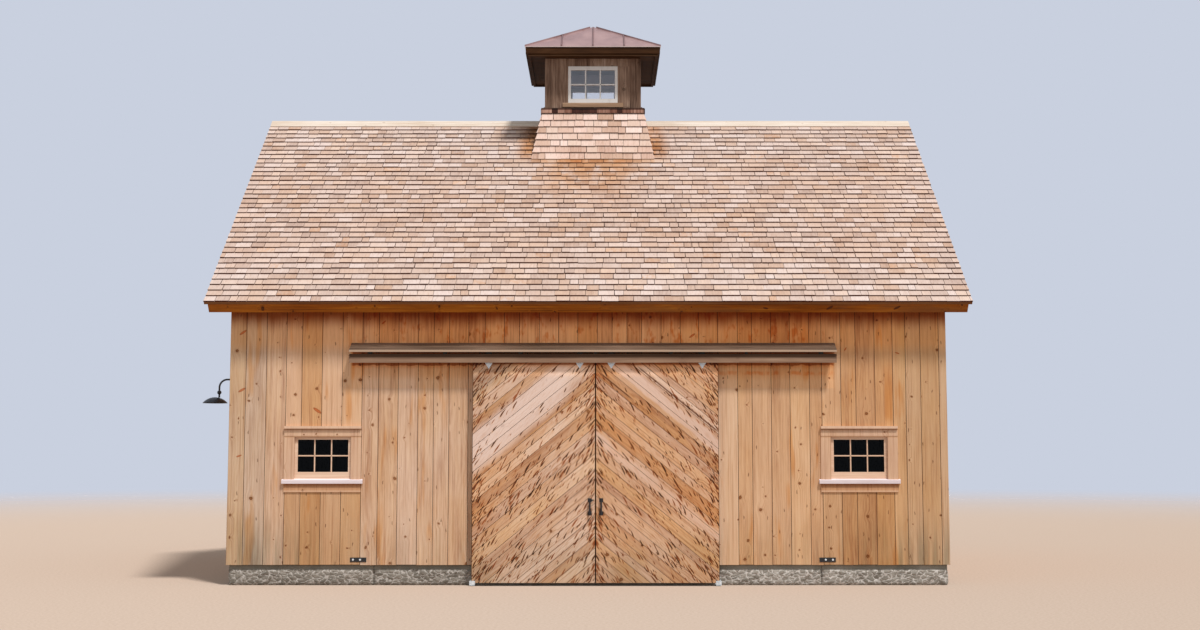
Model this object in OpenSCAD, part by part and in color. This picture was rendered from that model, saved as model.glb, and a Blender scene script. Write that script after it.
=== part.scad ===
// Timber barn on a low stone base: gable roof, cupola on the ridge, pair of hung sliding doors.
// Front is -Y, right is +X. The origin is on the ground at the middle of the footprint.

/* [Walls] */
// Width of the front wall, outer face to outer face
wall_w = 9144; // [8400:1:11000]
// Depth of the barn, outer face to outer face
wall_d = 6858; // [6200:1:7600]
// Thickness of the boarded wall
skin_t = 50; // [40:1:60]
// Height of the lower edge of the wall boards, which is the top of the stone
base_z = 260; // [200:1:320]

/* [Stone and floor] */
// Thickness of the stone base wall
stone_t = 300; // [240:1:360]
// How far the stone face stands back behind the board face
stone_back = 30; // [15:1:45]
// Thickness of the floor slab above the ground
floor_t = 60; // [40:1:120]

/* [Timber frame] */
// Side of the square posts
post_s = 150; // [110:1:180]
// Height of the top of the wall plates
plate_z = 3640; // [3500:1:4200]
// Depth of the wall plates
plate_h = 180; // [140:1:220]
// Depth of the tie beams
tie_h = 200; // [140:1:240]
// Distance of the gable posts from the ridge line
gable_post_y = 1100; // [800:1:1500]
// Depth of the beam over the doorway
lintel_h = 200; // [140:1:240]
// Width of a rafter
rafter_w = 70; // [50:1:90]
// Depth of a rafter inside the wall, measured square to the slope
rafter_d = 160; // [130:1:200]
// Depth of a rafter's tail, measured square to the slope
tail_d = 100; // [80:1:120]
// Number of rafters on each slope
rafter_n = 8; // [6:2:12]
// Thickness of the ridge beam
ridge_beam_w = 60; // [40:1:80]
// Depth of the ridge beam
ridge_beam_h = 207; // [180:1:300]

/* [Roof] */
// Slope of the roof in degrees
roof_angle = 39.8; // [36:0.1:45]
// Height from the plate's outer top edge up to the top of the shingles
heel_h = 236; // [225:1:260]
// Reach of the shingle tips past the front and back walls
eave_out = 330; // [260:1:420]
// Reach of the shingle edges past the gable walls
rake_out = 278; // [200:1:400]
// Thickness of the layered shingles
shingle_t = 35; // [25:1:40]
// Thickness of the roof boards under the shingles
deck_t = 25; // [18:1:35]
// Reach of the shingles past the eave and rake boards
shingle_lap = 34; // [20:1:50]
// Thickness of the eave and rake boards
fascia_t = 25; // [18:1:35]
// Thickness of the boards under the eaves and rakes
soffit_t = 20; // [15:1:30]
// Width of each ridge board along the slope
ridge_board_w = 155; // [120:1:200]
// Thickness of the ridge boards
ridge_board_t = 20; // [15:1:30]

/* [Doors] */
// Distance of the doors' meeting line to the right of the wall's middle
door_x = 93; // [-200:1:200]
// Width of the doorway
doorway_w = 3048; // [2800:1:3100]
// Height of the doorway's top above the ground
doorway_z = 2790; // [2500:1:2800]
// Overlap of a leaf past the doorway's side
leaf_side_lap = 34; // [20:1:60]
// Overlap of a leaf past the doorway's top
leaf_top_lap = 30; // [20:1:60]
// Gap between the two closed leaves
meeting_gap = 8; // [6:1:14]
// Height of a leaf's lower edge above the ground
leaf_z = 39; // [34:1:60]
// Gap between the wall face and a leaf's back
leaf_gap = 50; // [46:1:60]
// Thickness of the diagonal door boards
leaf_board_t = 25; // [20:1:30]
// Thickness of the frame behind the door boards
leaf_frame_t = 35; // [30:1:45]
// Width of the door frame's stiles and rails
leaf_frame_w = 140; // [100:1:180]
// Travel of each leaf
door_travel = 1500; // [1200:1:1500]

/* [Door track] */
// Height of the flat rail
rail_h = 50; // [40:1:60]
// Thickness of the flat rail
rail_t = 6; // [5:1:8]
// Gap between a leaf's top and the rail
rail_gap = 15; // [8:1:20]
// Distance of the outer hangers from the meeting line
hanger_out = 1356; // [1200:1:1450]
// Distance of the inner hangers from the meeting line
hanger_in = 200; // [150:1:300]
// Width of a hanger strap
strap_w = 98; // [70:1:110]
// Thickness of a hanger strap
strap_t = 6; // [4:1:8]
// Length of a strap below the leaf's top, down to its point
strap_drop = 91; // [80:1:200]
// Height of a strap's pointed end
strap_point_h = 74; // [40:1:80]
// Radius of a track wheel over its flanges
wheel_r = 40; // [34:1:42]
// Width of a track wheel
wheel_w = 24; // [20:1:28]
// Depth of the groove that runs on the rail
groove_d = 8; // [5:1:10]
// Width of the groove
groove_w = 12; // [10:1:14]
// Diameter of a wheel's axle bolt
axle_d = 16; // [12:1:20]
// Length of the stops at the ends of the travel
stop_l = 30; // [20:1:50]
// Height of the stops above the rail
stop_h = 26; // [20:1:30]

/* [Hood over the track] */
// Reach of the hood past the rail's left end
hood_past_left = 191; // [100:1:240]
// Reach of the hood past the rail's right end
hood_past_right = 126; // [100:1:240]
// Gap between the front board's top and the hood's front edge
hood_clear = 24; // [10:1:60]
// Reach of the hood from the wall
hood_out = 200; // [190:1:260]
// Fall of the hood from the wall to its front edge
hood_fall = 107; // [60:1:110]
// Thickness of the hood board
hood_t = 24; // [18:1:30]
// Height of the hood's front board
valance_h = 110; // [90:1:110]
// How far the front board hangs below the leaves' top
valance_lap = 16; // [5:1:30]
// Thickness of the front board
valance_t = 25; // [18:1:28]
// Distance of the front board's face from the wall
valance_out = 170; // [166:1:180]
// Number of brackets under the hood
bracket_n = 7; // [5:1:9]
// Width of a bracket
bracket_w = 40; // [30:1:60]
// Thickness of a bracket's steel
bracket_t = 6; // [4:1:8]

/* [Windows] */
// Middle of the left windows
window_left_x = -3375; // [-3500:1:-3375]
// Middle of the right windows
window_right_x = 3446; // [3446:1:3500]
// Width of the window opening
window_w = 722; // [600:1:760]
// Height of the window opening
window_h = 529; // [400:1:700]
// Height of the opening's lower edge
window_z = 1338; // [1100:1:1600]
// Width of the boards beside the window
casing_w = 128; // [90:1:140]
// Height of the board over the window
head_h = 104; // [80:1:140]
// Thickness of the window boards
casing_t = 19; // [16:1:30]
// Height of the cap over the head board
cap_h = 33; // [20:1:45]
// Reach of the cap and the sill from the wall
cap_out = 43; // [32:1:44]
// Height of the sill
sill_h = 62; // [40:1:80]
// Fall of the sill's top for each unit of depth
sill_slope = 0.3; // [0.1:0.05:0.4]
// Depth of the sill inside the opening, under the sash
sill_tongue = 25; // [15:1:40]
// Reach of the sill past the boards at each side
sill_lap = 24; // [10:1:30]
// Height of the board under the sill
apron_h = 107; // [80:1:140]
// Thickness of the sash
sash_t = 35; // [28:1:35]
// Distance of the sash behind the wall face
sash_back = 15; // [5:1:15]
// Width of the sash's stiles
stile_w = 40; // [30:1:60]
// Height of the sash's top rail
top_rail_h = 35; // [30:1:60]
// Height of the sash's bottom rail
bottom_rail_h = 85; // [50:1:110]
// Thickness of the glass
glass_t = 6; // [4:1:8]

/* [Cupola] */
// Distance of the cupola's middle to the right of the barn's middle
cupola_x = 45; // [-200:1:200]
// Width of the cupola's box
cupola_w = 1416; // [1300:1:1500]
// Thickness of the cupola's walls
cupola_t = 45; // [35:1:50]
// Opening in the roof under the cupola
cupola_hole = 1100; // [900:1:1150]
// Height of the skirt's top above the roof's ridge
skirt_up = -32; // [-60:1:20]
// Reach of the skirt past the box at its top
skirt_out = 39; // [25:1:45]
// Run of the skirt's flare for each unit of fall
skirt_flare = 0.2035; // [0.15:0.005:0.25]
// Height of the band over the skirt
band_h = 84; // [60:1:110]
// Reach of the band past the box
band_out = 53; // [50:1:80]
// Height of the windows' lower edge above the band
cupola_window_up = 83; // [70:1:120]
// Width of a cupola window
cupola_window_w = 731; // [600:1:800]
// Height of a cupola window
cupola_window_h = 555; // [450:1:580]
// Width of a cupola window's stiles
cupola_stile_w = 40; // [30:1:60]
// Height of a cupola window's top rail
cupola_top_rail_h = 57; // [35:1:70]
// Height of a cupola window's bottom rail
cupola_bottom_rail_h = 66; // [35:1:80]
// How far the window frame stands out of the wall
cupola_frame_out = 6; // [0:1:12]
// Depth of a cupola window frame
cupola_frame_t = 40; // [30:1:40]
// Width of the board under a cupola window
cupola_sill_w = 896; // [760:1:1000]
// Height of the board under a cupola window
cupola_sill_h = 63; // [40:1:68]
// Reach of that board from the wall
cupola_sill_out = 30; // [15:1:45]
// Height of the cornice's top above the windows' tops
cornice_up = 219; // [180:1:300]
// Width of the cornice over its outer boards
cornice_w = 1970; // [1800:1:2100]
// Thickness of a cornice board
cornice_board_t = 35; // [25:1:45]
// Height of the outer cornice boards
cornice_outer_h = 95; // [70:1:120]
// Height of the inner cornice boards
cornice_inner_h = 122; // [100:1:150]
// Height of the cornice's soffit board
cornice_soffit_t = 22; // [15:1:30]
// Reach of the copper roof past the cornice
drip_out = 10; // [5:1:25]
// Height of the copper's drip edge
drip_h = 12; // [8:1:20]
// Height of the copper roof over its drip edge
cupola_roof_h = 571; // [450:1:700]
// Thickness of the copper roof with its boards
cupola_roof_t = 30; // [20:1:40]
// Spacing of the standing seams
seam_pitch = 461; // [400:1:480]
// Width of a standing seam
seam_w = 14; // [10:1:24]
// Height of a standing seam
seam_h = 20; // [12:1:30]
// Distance of the hip seams' upper ends from the peak
hip_seam_gap = 72; // [40:1:110]

/* [Fittings] */
// Length of the iron bars at the foot of the wall
bar_l = 205; // [150:1:250]
// Height of an iron bar
bar_h = 55; // [40:1:70]
// Thickness of an iron bar
bar_t = 12; // [6:1:20]
// Height of a bar's middle above the ground
bar_z = 320; // [300:1:400]
// Distance of a bar's outer end from the hood's end
bar_inset = 23; // [10:1:80]
// Width of a floor guide
guide_w = 70; // [50:1:90]
// Reach of a floor guide past a closed leaf's outer edge
guide_past = 25; // [0:1:40]
// Thickness of a floor guide's steel
guide_t = 8; // [6:1:10]
// Gap between a leaf and its floor guide
guide_gap = 7; // [6:1:12]
// Height of a floor guide's top above the ground
guide_z = 66; // [55:1:80]
// Length of a door handle
handle_l = 214; // [160:1:300]
// Height of the handles' middle above the ground
handle_z = 988; // [900:1:1150]
// Distance of the handles from the meeting line
handle_x = 72; // [50:1:110]
// Diameter of a handle's grip
grip_d = 22; // [16:1:28]
// Reach of a handle's grip in front of the boards
grip_out = 48; // [40:1:60]
// Width of a handle's end plates
pad_w = 50; // [36:1:60]
// Thickness of a handle's end plates
pad_t = 6; // [4:1:8]
// Length of the latch hook on the left handle
hook_l = 50; // [30:1:56]
// Height of the latch hook
hook_h = 16; // [10:1:24]

/* [Lamp] */
// Distance of the lamp behind the front wall
lamp_back = 730; // [400:1:1500]
// Height of the lamp's arm where it leaves the wall
lamp_z = 2634; // [2400:1:2900]
// Distance of the arm's drop from the gable wall
lamp_out = 318; // [250:1:400]
// Radius of the arm's bend
lamp_bend_r = 105; // [60:1:150]
// Diameter of the arm
lamp_arm_d = 24; // [18:1:30]
// Diameter of the plate on the wall
lamp_plate_d = 120; // [80:1:160]
// Thickness of the plate on the wall
lamp_plate_t = 20; // [10:1:30]
// Diameter of the ball joint on the arm
lamp_ball_d = 56; // [40:1:70]
// Diameter of the shade
shade_d = 326; // [250:1:400]
// Height of the shade
shade_h = 78; // [60:1:110]
// Thickness of the shade
shade_t = 4; // [3:1:6]
// Distance of the shade's middle beyond the arm's drop
shade_shift = 53; // [0:1:70]
// Height of the shade's rim above the ground
shade_z = 2322; // [2200:1:2330]

/* [Hidden] */
$fn = 96;

// Gap between sloping faces that rest on each other
seat_gap = 0.3;
// How far a cut runs past the faces that it opens
cut_over = 1;

// Colours
stone_c = "#8d8880";
concrete_c = "#b3aca0";
board_c = "#c79a72";
frame_c = "#b98f62";
shingle_c = "#d9b79c";
trim_c = "#9a6a35";
pale_c = "#e3c3a4";
weathered_c = "#7c6552";
copper_c = "#b5837a";
white_c = "#e6e2dc";
glass_c = "#20242a";
zinc_c = "#9aa5a5";
iron_c = "#1d1c1c";

// Main faces
half_w = wall_w / 2;
half_d = wall_d / 2;
inner_half_w = half_w - skin_t;
inner_half_d = half_d - skin_t;
stone_half_w = half_w - stone_back;
stone_half_d = half_d - stone_back;

// Roof section: r is the run from the ridge line, s the distance down the slope, d the depth under the
// top of the shingles, square to the slope
pitch = tan(roof_angle);
ridge_z = plate_z + heel_h + pitch * inner_half_d;
roof_t = shingle_t + deck_t;
under_deck = roof_t + seat_gap;
tail_under = roof_t + tail_d;
under_tail = tail_under + seat_gap;
rafter_under = roof_t + rafter_d;
soffit_under = under_tail + soffit_t;
s_tip = (half_d + eave_out) / cos(roof_angle);
s_board = s_tip - shingle_lap;
s_tail = s_board - fascia_t;
s_face = s_tail + seat_gap;
under_shingles = shingle_t + seat_gap;
rake_x = half_w + rake_out;
rake_board_x = rake_x - shingle_lap;
deck_x = rake_board_x - fascia_t;
function roof_z(r, d = 0) = ridge_z - pitch * r - d / cos(roof_angle);
function on_slope(s, d) = [
    -(s * cos(roof_angle) - d * sin(roof_angle)),
    ridge_z - s * sin(roof_angle) - d * cos(roof_angle)
];

// Doorway and leaves
doorway_left = door_x - doorway_w / 2;
doorway_right = door_x + doorway_w / 2;
leaf_w = doorway_w / 2 + leaf_side_lap - meeting_gap / 2;
leaf_top = doorway_z + leaf_top_lap;
leaf_h = leaf_top - leaf_z;
leaf_back_y = -half_d - leaf_gap;
leaf_mid_y = leaf_back_y - leaf_frame_t;
leaf_front_y = leaf_mid_y - leaf_board_t;
leaf_inner_x = meeting_gap / 2;
leaf_outer_x = leaf_inner_x + leaf_w;

post_xs = [-inner_half_w, doorway_left - post_s, doorway_right, inner_half_w - post_s];

// Track
rail_y = leaf_back_y - (leaf_frame_t + leaf_board_t) / 2;
rail_z = leaf_top + rail_gap;
rail_top = rail_z + rail_h;
rail_play = 0.3;
axle_z = rail_top + wheel_r - groove_d + rail_play;
strap_over_axle = 26;
strap_neck_w = 52;
bolt_head_t = 5;
stop_play = 6;
bolt_head_d = 26;
stop_x = hanger_out + door_travel + wheel_r + stop_play;
rail_half = stop_x + stop_l;
hood_left = door_x - rail_half - hood_past_left;
hood_right = door_x + rail_half + hood_past_right;
valance_back_y = -half_d - valance_out + valance_t;
valance_z = leaf_top - valance_lap;
hood_z = valance_z + valance_h + hood_clear + hood_t + hood_fall;
function hood_under(out) = hood_z - hood_t - seat_gap - hood_fall * out / hood_out;
bracket_end = 60;
spacer_d = 24;
bracket_plate_z = rail_z;
bracket_leg = 70;

// Windows
window_xs = [window_left_x, window_right_x];
function sill_top(out) = window_z - sill_slope * (out + sash_back);

// Cupola
cupola_half = cupola_w / 2;
skirt_top_half = cupola_half + skirt_out;
band_half = cupola_half + band_out;
skirt_top = ridge_z + skirt_up;
skirt_at_boards = skirt_out + skirt_flare * (skirt_up + ridge_board_w * sin(roof_angle));
ridge_board_end = cupola_half + max(band_out, skirt_at_boards) + seat_gap;
band_top = skirt_top + band_h;
cupola_window_z = band_top + cupola_window_up;
cornice_top = cupola_window_z + cupola_window_h + cornice_up;
cornice_half = cornice_w / 2;
inner_board_half = cornice_half - cornice_board_t;
soffit_half = inner_board_half - cornice_board_t;
soffit_up = 22;
drip_half = cornice_half + drip_out;
peak_z = cornice_top + drip_h + cupola_roof_h;
roof_cut = 2000;

// Places a flat (y, z) outline along X
module along_x(from, to) {
    translate([from, 0, 0]) rotate([90, 0, 90]) linear_extrude(to - from) children();
}

// Places a flat (x, z) outline along Y
module along_y(from, to) {
    translate([0, to, 0]) rotate([90, 0, 0]) linear_extrude(to - from) children();
}

// A block between two corners
module block(low, high) {
    translate(low) cube(high - low);
}

module front_and_back() {
    children();
    mirror([0, 1, 0]) children();
}

module left_and_right() {
    children();
    mirror([1, 0, 0]) children();
}

// Section of the front wall, with its top cut to the slope under the rafter tails
module wall_section(low) {
    polygon([
        [-half_d, low],
        [-inner_half_d, low],
        [-inner_half_d, roof_z(inner_half_d, under_tail)],
        [-half_d, roof_z(half_d, under_tail)]
    ]);
}

module window_cut(x) {
    block(
        [x - window_w / 2, -half_d - skin_t, window_z - sill_tongue],
        [x + window_w / 2, -half_d + 2 * skin_t, window_z + window_h]
    );
}

// Everything under the top of the shingles, to trim what stands on the roof
module under_roof() {
    edge_z = roof_z(roof_cut, -seat_gap);
    along_x(-roof_cut, roof_cut) polygon([
        [-roof_cut, edge_z], [0, roof_z(0, -seat_gap)], [roof_cut, edge_z], [roof_cut, 0], [-roof_cut, 0]
    ]);
}

// Stone and floor
module foundation_front() color(stone_c) {
    block([-stone_half_w, -stone_half_d, 0], [doorway_left, -stone_half_d + stone_t, base_z]);
    block([doorway_right, -stone_half_d, 0], [stone_half_w, -stone_half_d + stone_t, base_z]);
}

module foundation_back() color(stone_c)
    block([-stone_half_w, stone_half_d - stone_t, 0], [stone_half_w, stone_half_d, base_z]);

module foundation_ends() color(stone_c) left_and_right()
    block(
        [-stone_half_w, -stone_half_d + stone_t, 0],
        [-stone_half_w + stone_t, stone_half_d - stone_t, base_z]
    );

module floor_slab() color(concrete_c) {
    block(
        [-stone_half_w + stone_t, -stone_half_d + stone_t, 0],
        [stone_half_w - stone_t, stone_half_d - stone_t, floor_t]
    );
    block([doorway_left, -stone_half_d, 0], [doorway_right, -stone_half_d + stone_t, floor_t]);
}

// Walls
module front_wall_left() color(board_c) difference() {
    along_x(-half_w, doorway_left) wall_section(base_z);
    window_cut(window_left_x);
}

module front_wall_right() color(board_c) difference() {
    along_x(doorway_right, half_w) wall_section(base_z);
    window_cut(window_right_x);
}

module front_wall_over_door() color(board_c)
    along_x(doorway_left, doorway_right) wall_section(doorway_z);

module back_wall() color(board_c) mirror([0, 1, 0]) difference() {
    along_x(-half_w, half_w) wall_section(base_z);
    for (x = window_xs) window_cut(x);
}

module gable_wall(from) {
    along_x(from, from + skin_t) polygon([
        [-inner_half_d, base_z],
        [inner_half_d, base_z],
        [inner_half_d, roof_z(inner_half_d, under_deck)],
        [0, roof_z(0, under_deck)],
        [-inner_half_d, roof_z(inner_half_d, under_deck)]
    ]);
}

module left_gable_wall() color(board_c) gable_wall(-half_w);

module right_gable_wall() color(board_c) gable_wall(inner_half_w);

// Timber frame
module posts() color(frame_c) {
    front_and_back() for (x = post_xs)
        block([x, -inner_half_d, base_z], [x + post_s, -inner_half_d + post_s, plate_z - plate_h]);
    front_and_back() left_and_right() block(
        [-inner_half_w, -gable_post_y - post_s / 2, base_z],
        [-inner_half_w + post_s, -gable_post_y + post_s / 2, plate_z - tie_h]
    );
}

module wall_plates() color(frame_c) front_and_back()
    block(
        [-inner_half_w, -inner_half_d, plate_z - plate_h],
        [inner_half_w, -inner_half_d + post_s, plate_z]
    );

module tie_beams() color(frame_c) for (x = post_xs)
    block([x, -inner_half_d + post_s, plate_z - tie_h], [x + post_s, inner_half_d - post_s, plate_z]);

module door_lintel() color(frame_c)
    block(
        [doorway_left, -inner_half_d, doorway_z],
        [doorway_right, -inner_half_d + post_s, doorway_z + lintel_h]
    );

// Front rafter with a level seat on the wall plate and a thinner tail
module rafter_section() {
    beam_half = ridge_beam_w / 2;
    seat_r = (roof_z(0, rafter_under) - plate_z) / pitch;
    polygon([
        [-beam_half, roof_z(beam_half, under_deck)],
        on_slope(s_tail, under_deck),
        on_slope(s_tail, tail_under),
        [-inner_half_d, roof_z(inner_half_d, tail_under)],
        [-inner_half_d, plate_z],
        [-seat_r, plate_z],
        [-beam_half, roof_z(beam_half, rafter_under)]
    ]);
}

module rafters() color(frame_c) {
    spacing = (2 * inner_half_w - rafter_w) / (rafter_n - 1);
    front_and_back() for (i = [0 : rafter_n - 1]) {
        x = -inner_half_w + i * spacing;
        along_x(x, x + rafter_w) rafter_section();
    }
}

module ridge_beam() color(frame_c) {
    beam_half = ridge_beam_w / 2;
    beam_top = roof_z(beam_half, under_deck);
    block([-inner_half_w, -beam_half, beam_top - ridge_beam_h], [inner_half_w, beam_half, beam_top]);
}

// Roof
module front_roof() difference() {
    union() {
        along_x(-rake_x, rake_x) polygon([
            [0, ridge_z], on_slope(s_tip, 0), on_slope(s_tip, shingle_t), [0, roof_z(0, shingle_t)]
        ]);
        along_x(-deck_x, deck_x) polygon([
            [0, ridge_z], on_slope(s_tail, 0), on_slope(s_tail, roof_t), [0, roof_z(0, roof_t)]
        ]);
    }
    translate([cupola_x - cupola_hole / 2, -cupola_hole / 2, 0])
        cube([cupola_hole, cupola_hole, 2 * ridge_z]);
}

module roof_front() color(shingle_c) front_roof();

module roof_back() color(shingle_c) mirror([0, 1, 0]) front_roof();

module eave_boards() color(trim_c) front_and_back() {
    along_x(-deck_x, deck_x) polygon([
        on_slope(s_face, under_shingles), on_slope(s_board, under_shingles),
        on_slope(s_board, soffit_under), on_slope(s_face, soffit_under)
    ]);
    along_x(-half_w, half_w) polygon([
        [-half_d, roof_z(half_d, under_tail)], on_slope(s_tail, under_tail),
        on_slope(s_tail, soffit_under), [-half_d, roof_z(half_d, soffit_under)]
    ]);
}

module rake_boards() color(trim_c) left_and_right() front_and_back() {
    along_x(-rake_board_x, -deck_x - seat_gap) polygon([
        [-seat_gap, roof_z(seat_gap, under_shingles)], on_slope(s_board, under_shingles),
        on_slope(s_board, soffit_under), [-seat_gap, roof_z(seat_gap, soffit_under)]
    ]);
    along_x(-deck_x, -half_w - seat_gap) polygon([
        [-seat_gap, roof_z(seat_gap, under_tail)], on_slope(s_tail, under_tail),
        on_slope(s_tail, soffit_under), [-seat_gap, roof_z(seat_gap, soffit_under)]
    ]);
}

module ridge_boards() color(pale_c) front_and_back()
    for (ends = [[-rake_x, cupola_x - ridge_board_end], [cupola_x + ridge_board_end, rake_x]])
        along_x(ends[0], ends[1]) polygon([
            [-seat_gap, roof_z(seat_gap, -seat_gap)], on_slope(ridge_board_w, -seat_gap),
            on_slope(ridge_board_w, -ridge_board_t), [-seat_gap, roof_z(seat_gap, -ridge_board_t)]
        ]);

// Windows of the front and back walls
module window_casing(x) {
    board_y = -half_d - casing_t;
    out = window_w / 2 + casing_w;
    top = window_z + window_h;
    for (side = [-1, 1]) translate([x + side * (window_w + casing_w) / 2, 0, 0])
        along_x(-casing_w / 2, casing_w / 2) polygon([
            [-half_d, sill_top(0) + seat_gap], [-half_d, top - seat_gap],
            [board_y, top - seat_gap], [board_y, sill_top(casing_t) + seat_gap]
        ]);
    block([x - out, board_y, top], [x + out, -half_d, top + head_h]);
    block(
        [x - out, -half_d - cap_out, top + head_h + seat_gap],
        [x + out, -half_d, top + head_h + cap_h]
    );
    block([x - out, board_y, window_z - sill_h - apron_h], [x + out, -half_d, window_z - sill_h]);
}

module window_casings() color(board_c) front_and_back() for (x = window_xs) window_casing(x);

// Sill with a sloping top, and a tongue that fills the foot of the opening under the sash
module window_sills() color(pale_c) front_and_back() for (x = window_xs) translate([x, 0, 0]) {
    out = window_w / 2 + casing_w + sill_lap;
    low = window_z - sill_h;
    tongue_low = window_z - sill_tongue;
    sash_y = -half_d + sash_back;
    along_x(-out, out) polygon([
        [-half_d, low], [-half_d, sill_top(0)],
        [-half_d - cap_out, sill_top(cap_out)], [-half_d - cap_out, low]
    ]);
    along_x(-window_w / 2, window_w / 2) polygon([
        [-half_d, tongue_low], [sash_y + sash_t, tongue_low], [sash_y + sash_t, window_z],
        [sash_y, window_z], [-half_d, sill_top(0)]
    ]);
}

// A flat frame round an opening that starts at the origin, front face at y = 0
module sash(width, height, depth, stile, top_rail, bottom_rail) {
    difference() {
        cube([width, depth, height]);
        translate([stile, -depth, bottom_rail])
            cube([width - 2 * stile, 3 * depth, height - top_rail - bottom_rail]);
    }
}

module window_sashes() color(pale_c) front_and_back() for (x = window_xs)
    translate([x - window_w / 2, -half_d + sash_back, window_z])
        sash(window_w, window_h, sash_t, stile_w, top_rail_h, bottom_rail_h);

module window_glass() color(glass_c) front_and_back() for (x = window_xs)
    translate([
        x - window_w / 2 + stile_w,
        -half_d + sash_back + (sash_t - glass_t) / 2,
        window_z + bottom_rail_h
    ])
        cube([window_w - 2 * stile_w, glass_t, window_h - top_rail_h - bottom_rail_h]);

// Cupola
module at_cupola() {
    translate([cupola_x, 0, 0]) children();
}

module four_sides() {
    for (turn = [0 : 90 : 270]) rotate([0, 0, turn]) children();
}

// A level square ring
module square_ring(outer_half, inner_half, low, high) {
    difference() {
        block([-outer_half, -outer_half, low], [outer_half, outer_half, high]);
        block([-inner_half, -inner_half, low - cut_over], [inner_half, inner_half, high + cut_over]);
    }
}

// Four level boards round a square, mitred at the corners
module mitred_boards(outer_half, inner_half, low, high) {
    four_sides() translate([0, 0, low]) linear_extrude(high - low) polygon([
        [-outer_half + seat_gap, -outer_half], [outer_half - seat_gap, -outer_half],
        [inner_half - seat_gap, -inner_half], [-inner_half + seat_gap, -inner_half]
    ]);
}

// A square block whose sides flare out downwards
module flared_block(top_half, top, low, flare) {
    low_half = top_half + flare * (top - low);
    outline = [[-low_half, low], [low_half, low], [top_half, top], [-top_half, top]];
    intersection() {
        along_x(-low_half, low_half) polygon(outline);
        along_y(-low_half, low_half) polygon(outline);
    }
}

module cupola_skirt() color(shingle_c) difference() {
    at_cupola() difference() {
        flared_block(skirt_top_half, skirt_top, roof_z(cupola_w), skirt_flare);
        block([-cupola_half, -cupola_half, 0], [cupola_half, cupola_half, skirt_top + cut_over]);
    }
    under_roof();
}

module cupola_band() color(trim_c) difference() {
    at_cupola() square_ring(band_half, cupola_half, skirt_top, band_top);
    under_roof();
}

module cupola_walls() color(weathered_c) difference() {
    at_cupola() difference() {
        mitred_boards(cupola_half, cupola_half - cupola_t, roof_z(cupola_w), cornice_top);
        four_sides() translate([-cupola_window_w / 2, -cupola_half - cupola_t, cupola_window_z])
            cube([cupola_window_w, 3 * cupola_t, cupola_window_h]);
    }
    under_roof();
}

module cupola_sills() color(pale_c) at_cupola() four_sides()
    translate([-cupola_sill_w / 2, -cupola_half - cupola_sill_out, cupola_window_z - cupola_sill_h])
        cube([cupola_sill_w, cupola_sill_out, cupola_sill_h]);

module cupola_window_frames() color(white_c) at_cupola() four_sides()
    translate([-cupola_window_w / 2, -cupola_half - cupola_frame_out, cupola_window_z])
        sash(
            cupola_window_w, cupola_window_h, cupola_frame_t,
            cupola_stile_w, cupola_top_rail_h, cupola_bottom_rail_h
        );

module cupola_glass() color(glass_c) at_cupola() four_sides() translate([
    -cupola_window_w / 2 + cupola_stile_w,
    -cupola_half - cupola_frame_out + (cupola_frame_t - glass_t) / 2,
    cupola_window_z + cupola_bottom_rail_h
]) cube([
    cupola_window_w - 2 * cupola_stile_w,
    glass_t,
    cupola_window_h - cupola_top_rail_h - cupola_bottom_rail_h
]);

module cupola_cornice() color(weathered_c) at_cupola() {
    soffit_z = cornice_top - cornice_inner_h + soffit_up;
    mitred_boards(cornice_half, inner_board_half + seat_gap, cornice_top - cornice_outer_h, cornice_top);
    mitred_boards(inner_board_half, soffit_half + seat_gap, cornice_top - cornice_inner_h, cornice_top);
    mitred_boards(soffit_half, cupola_half, soffit_z, soffit_z + cornice_soffit_t);
}

// A hipped block on a square, with a plain edge under the slopes
module hipped_block(half, low, edge, rise) {
    outline = [[-half, low], [half, low], [half, low + edge], [0, low + edge + rise], [-half, low + edge]];
    intersection() {
        along_x(-half, half) polygon(outline);
        along_y(-half, half) polygon(outline);
    }
}

// A standing seam up a slope, from its low end to its high end, in the (y, z) plane
module seam(run_low, run_high, slope_run) {
    rise = cupola_roof_h / slope_run;
    edge_z = cornice_top + drip_h;
    seam_rise = seam_h / cos(atan(rise));
    along_x(-seam_w / 2, seam_w / 2) polygon([
        [-run_low, edge_z + rise * (slope_run - run_low) - drip_h],
        [-run_high, edge_z + rise * (slope_run - run_high) - drip_h],
        [-run_high, edge_z + rise * (slope_run - run_high) + seam_rise],
        [-run_low, edge_z + rise * (slope_run - run_low) + seam_rise]
    ]);
}

module cupola_roof() color(copper_c) at_cupola() {
    hip_run = drip_half * sqrt(2);
    inner_rise = cupola_roof_h * inner_board_half / drip_half - cupola_roof_t;
    difference() {
        hipped_block(drip_half, cornice_top, drip_h, cupola_roof_h);
        hipped_block(soffit_half, cornice_top - drip_h, drip_h, inner_rise * soffit_half / inner_board_half);
    }
    four_sides() {
        for (i = [-1 : 1]) translate([i * seam_pitch, 0, 0])
            seam(drip_half, max(abs(i) * seam_pitch, hip_seam_gap), drip_half);
        rotate([0, 0, 45]) seam(hip_run, hip_seam_gap, hip_run);
    }
}

// Hood, track and floor guides
module track_hood() color(weathered_c) along_x(hood_left, hood_right) polygon([
    [-half_d, hood_z - hood_t], [-half_d, hood_z],
    [-half_d - hood_out, hood_z - hood_fall], [-half_d - hood_out, hood_z - hood_fall - hood_t]
]);

module hood_valance() color(weathered_c) block(
    [hood_left, valance_back_y - valance_t, valance_z],
    [hood_right, valance_back_y, valance_z + valance_h]
);

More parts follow.
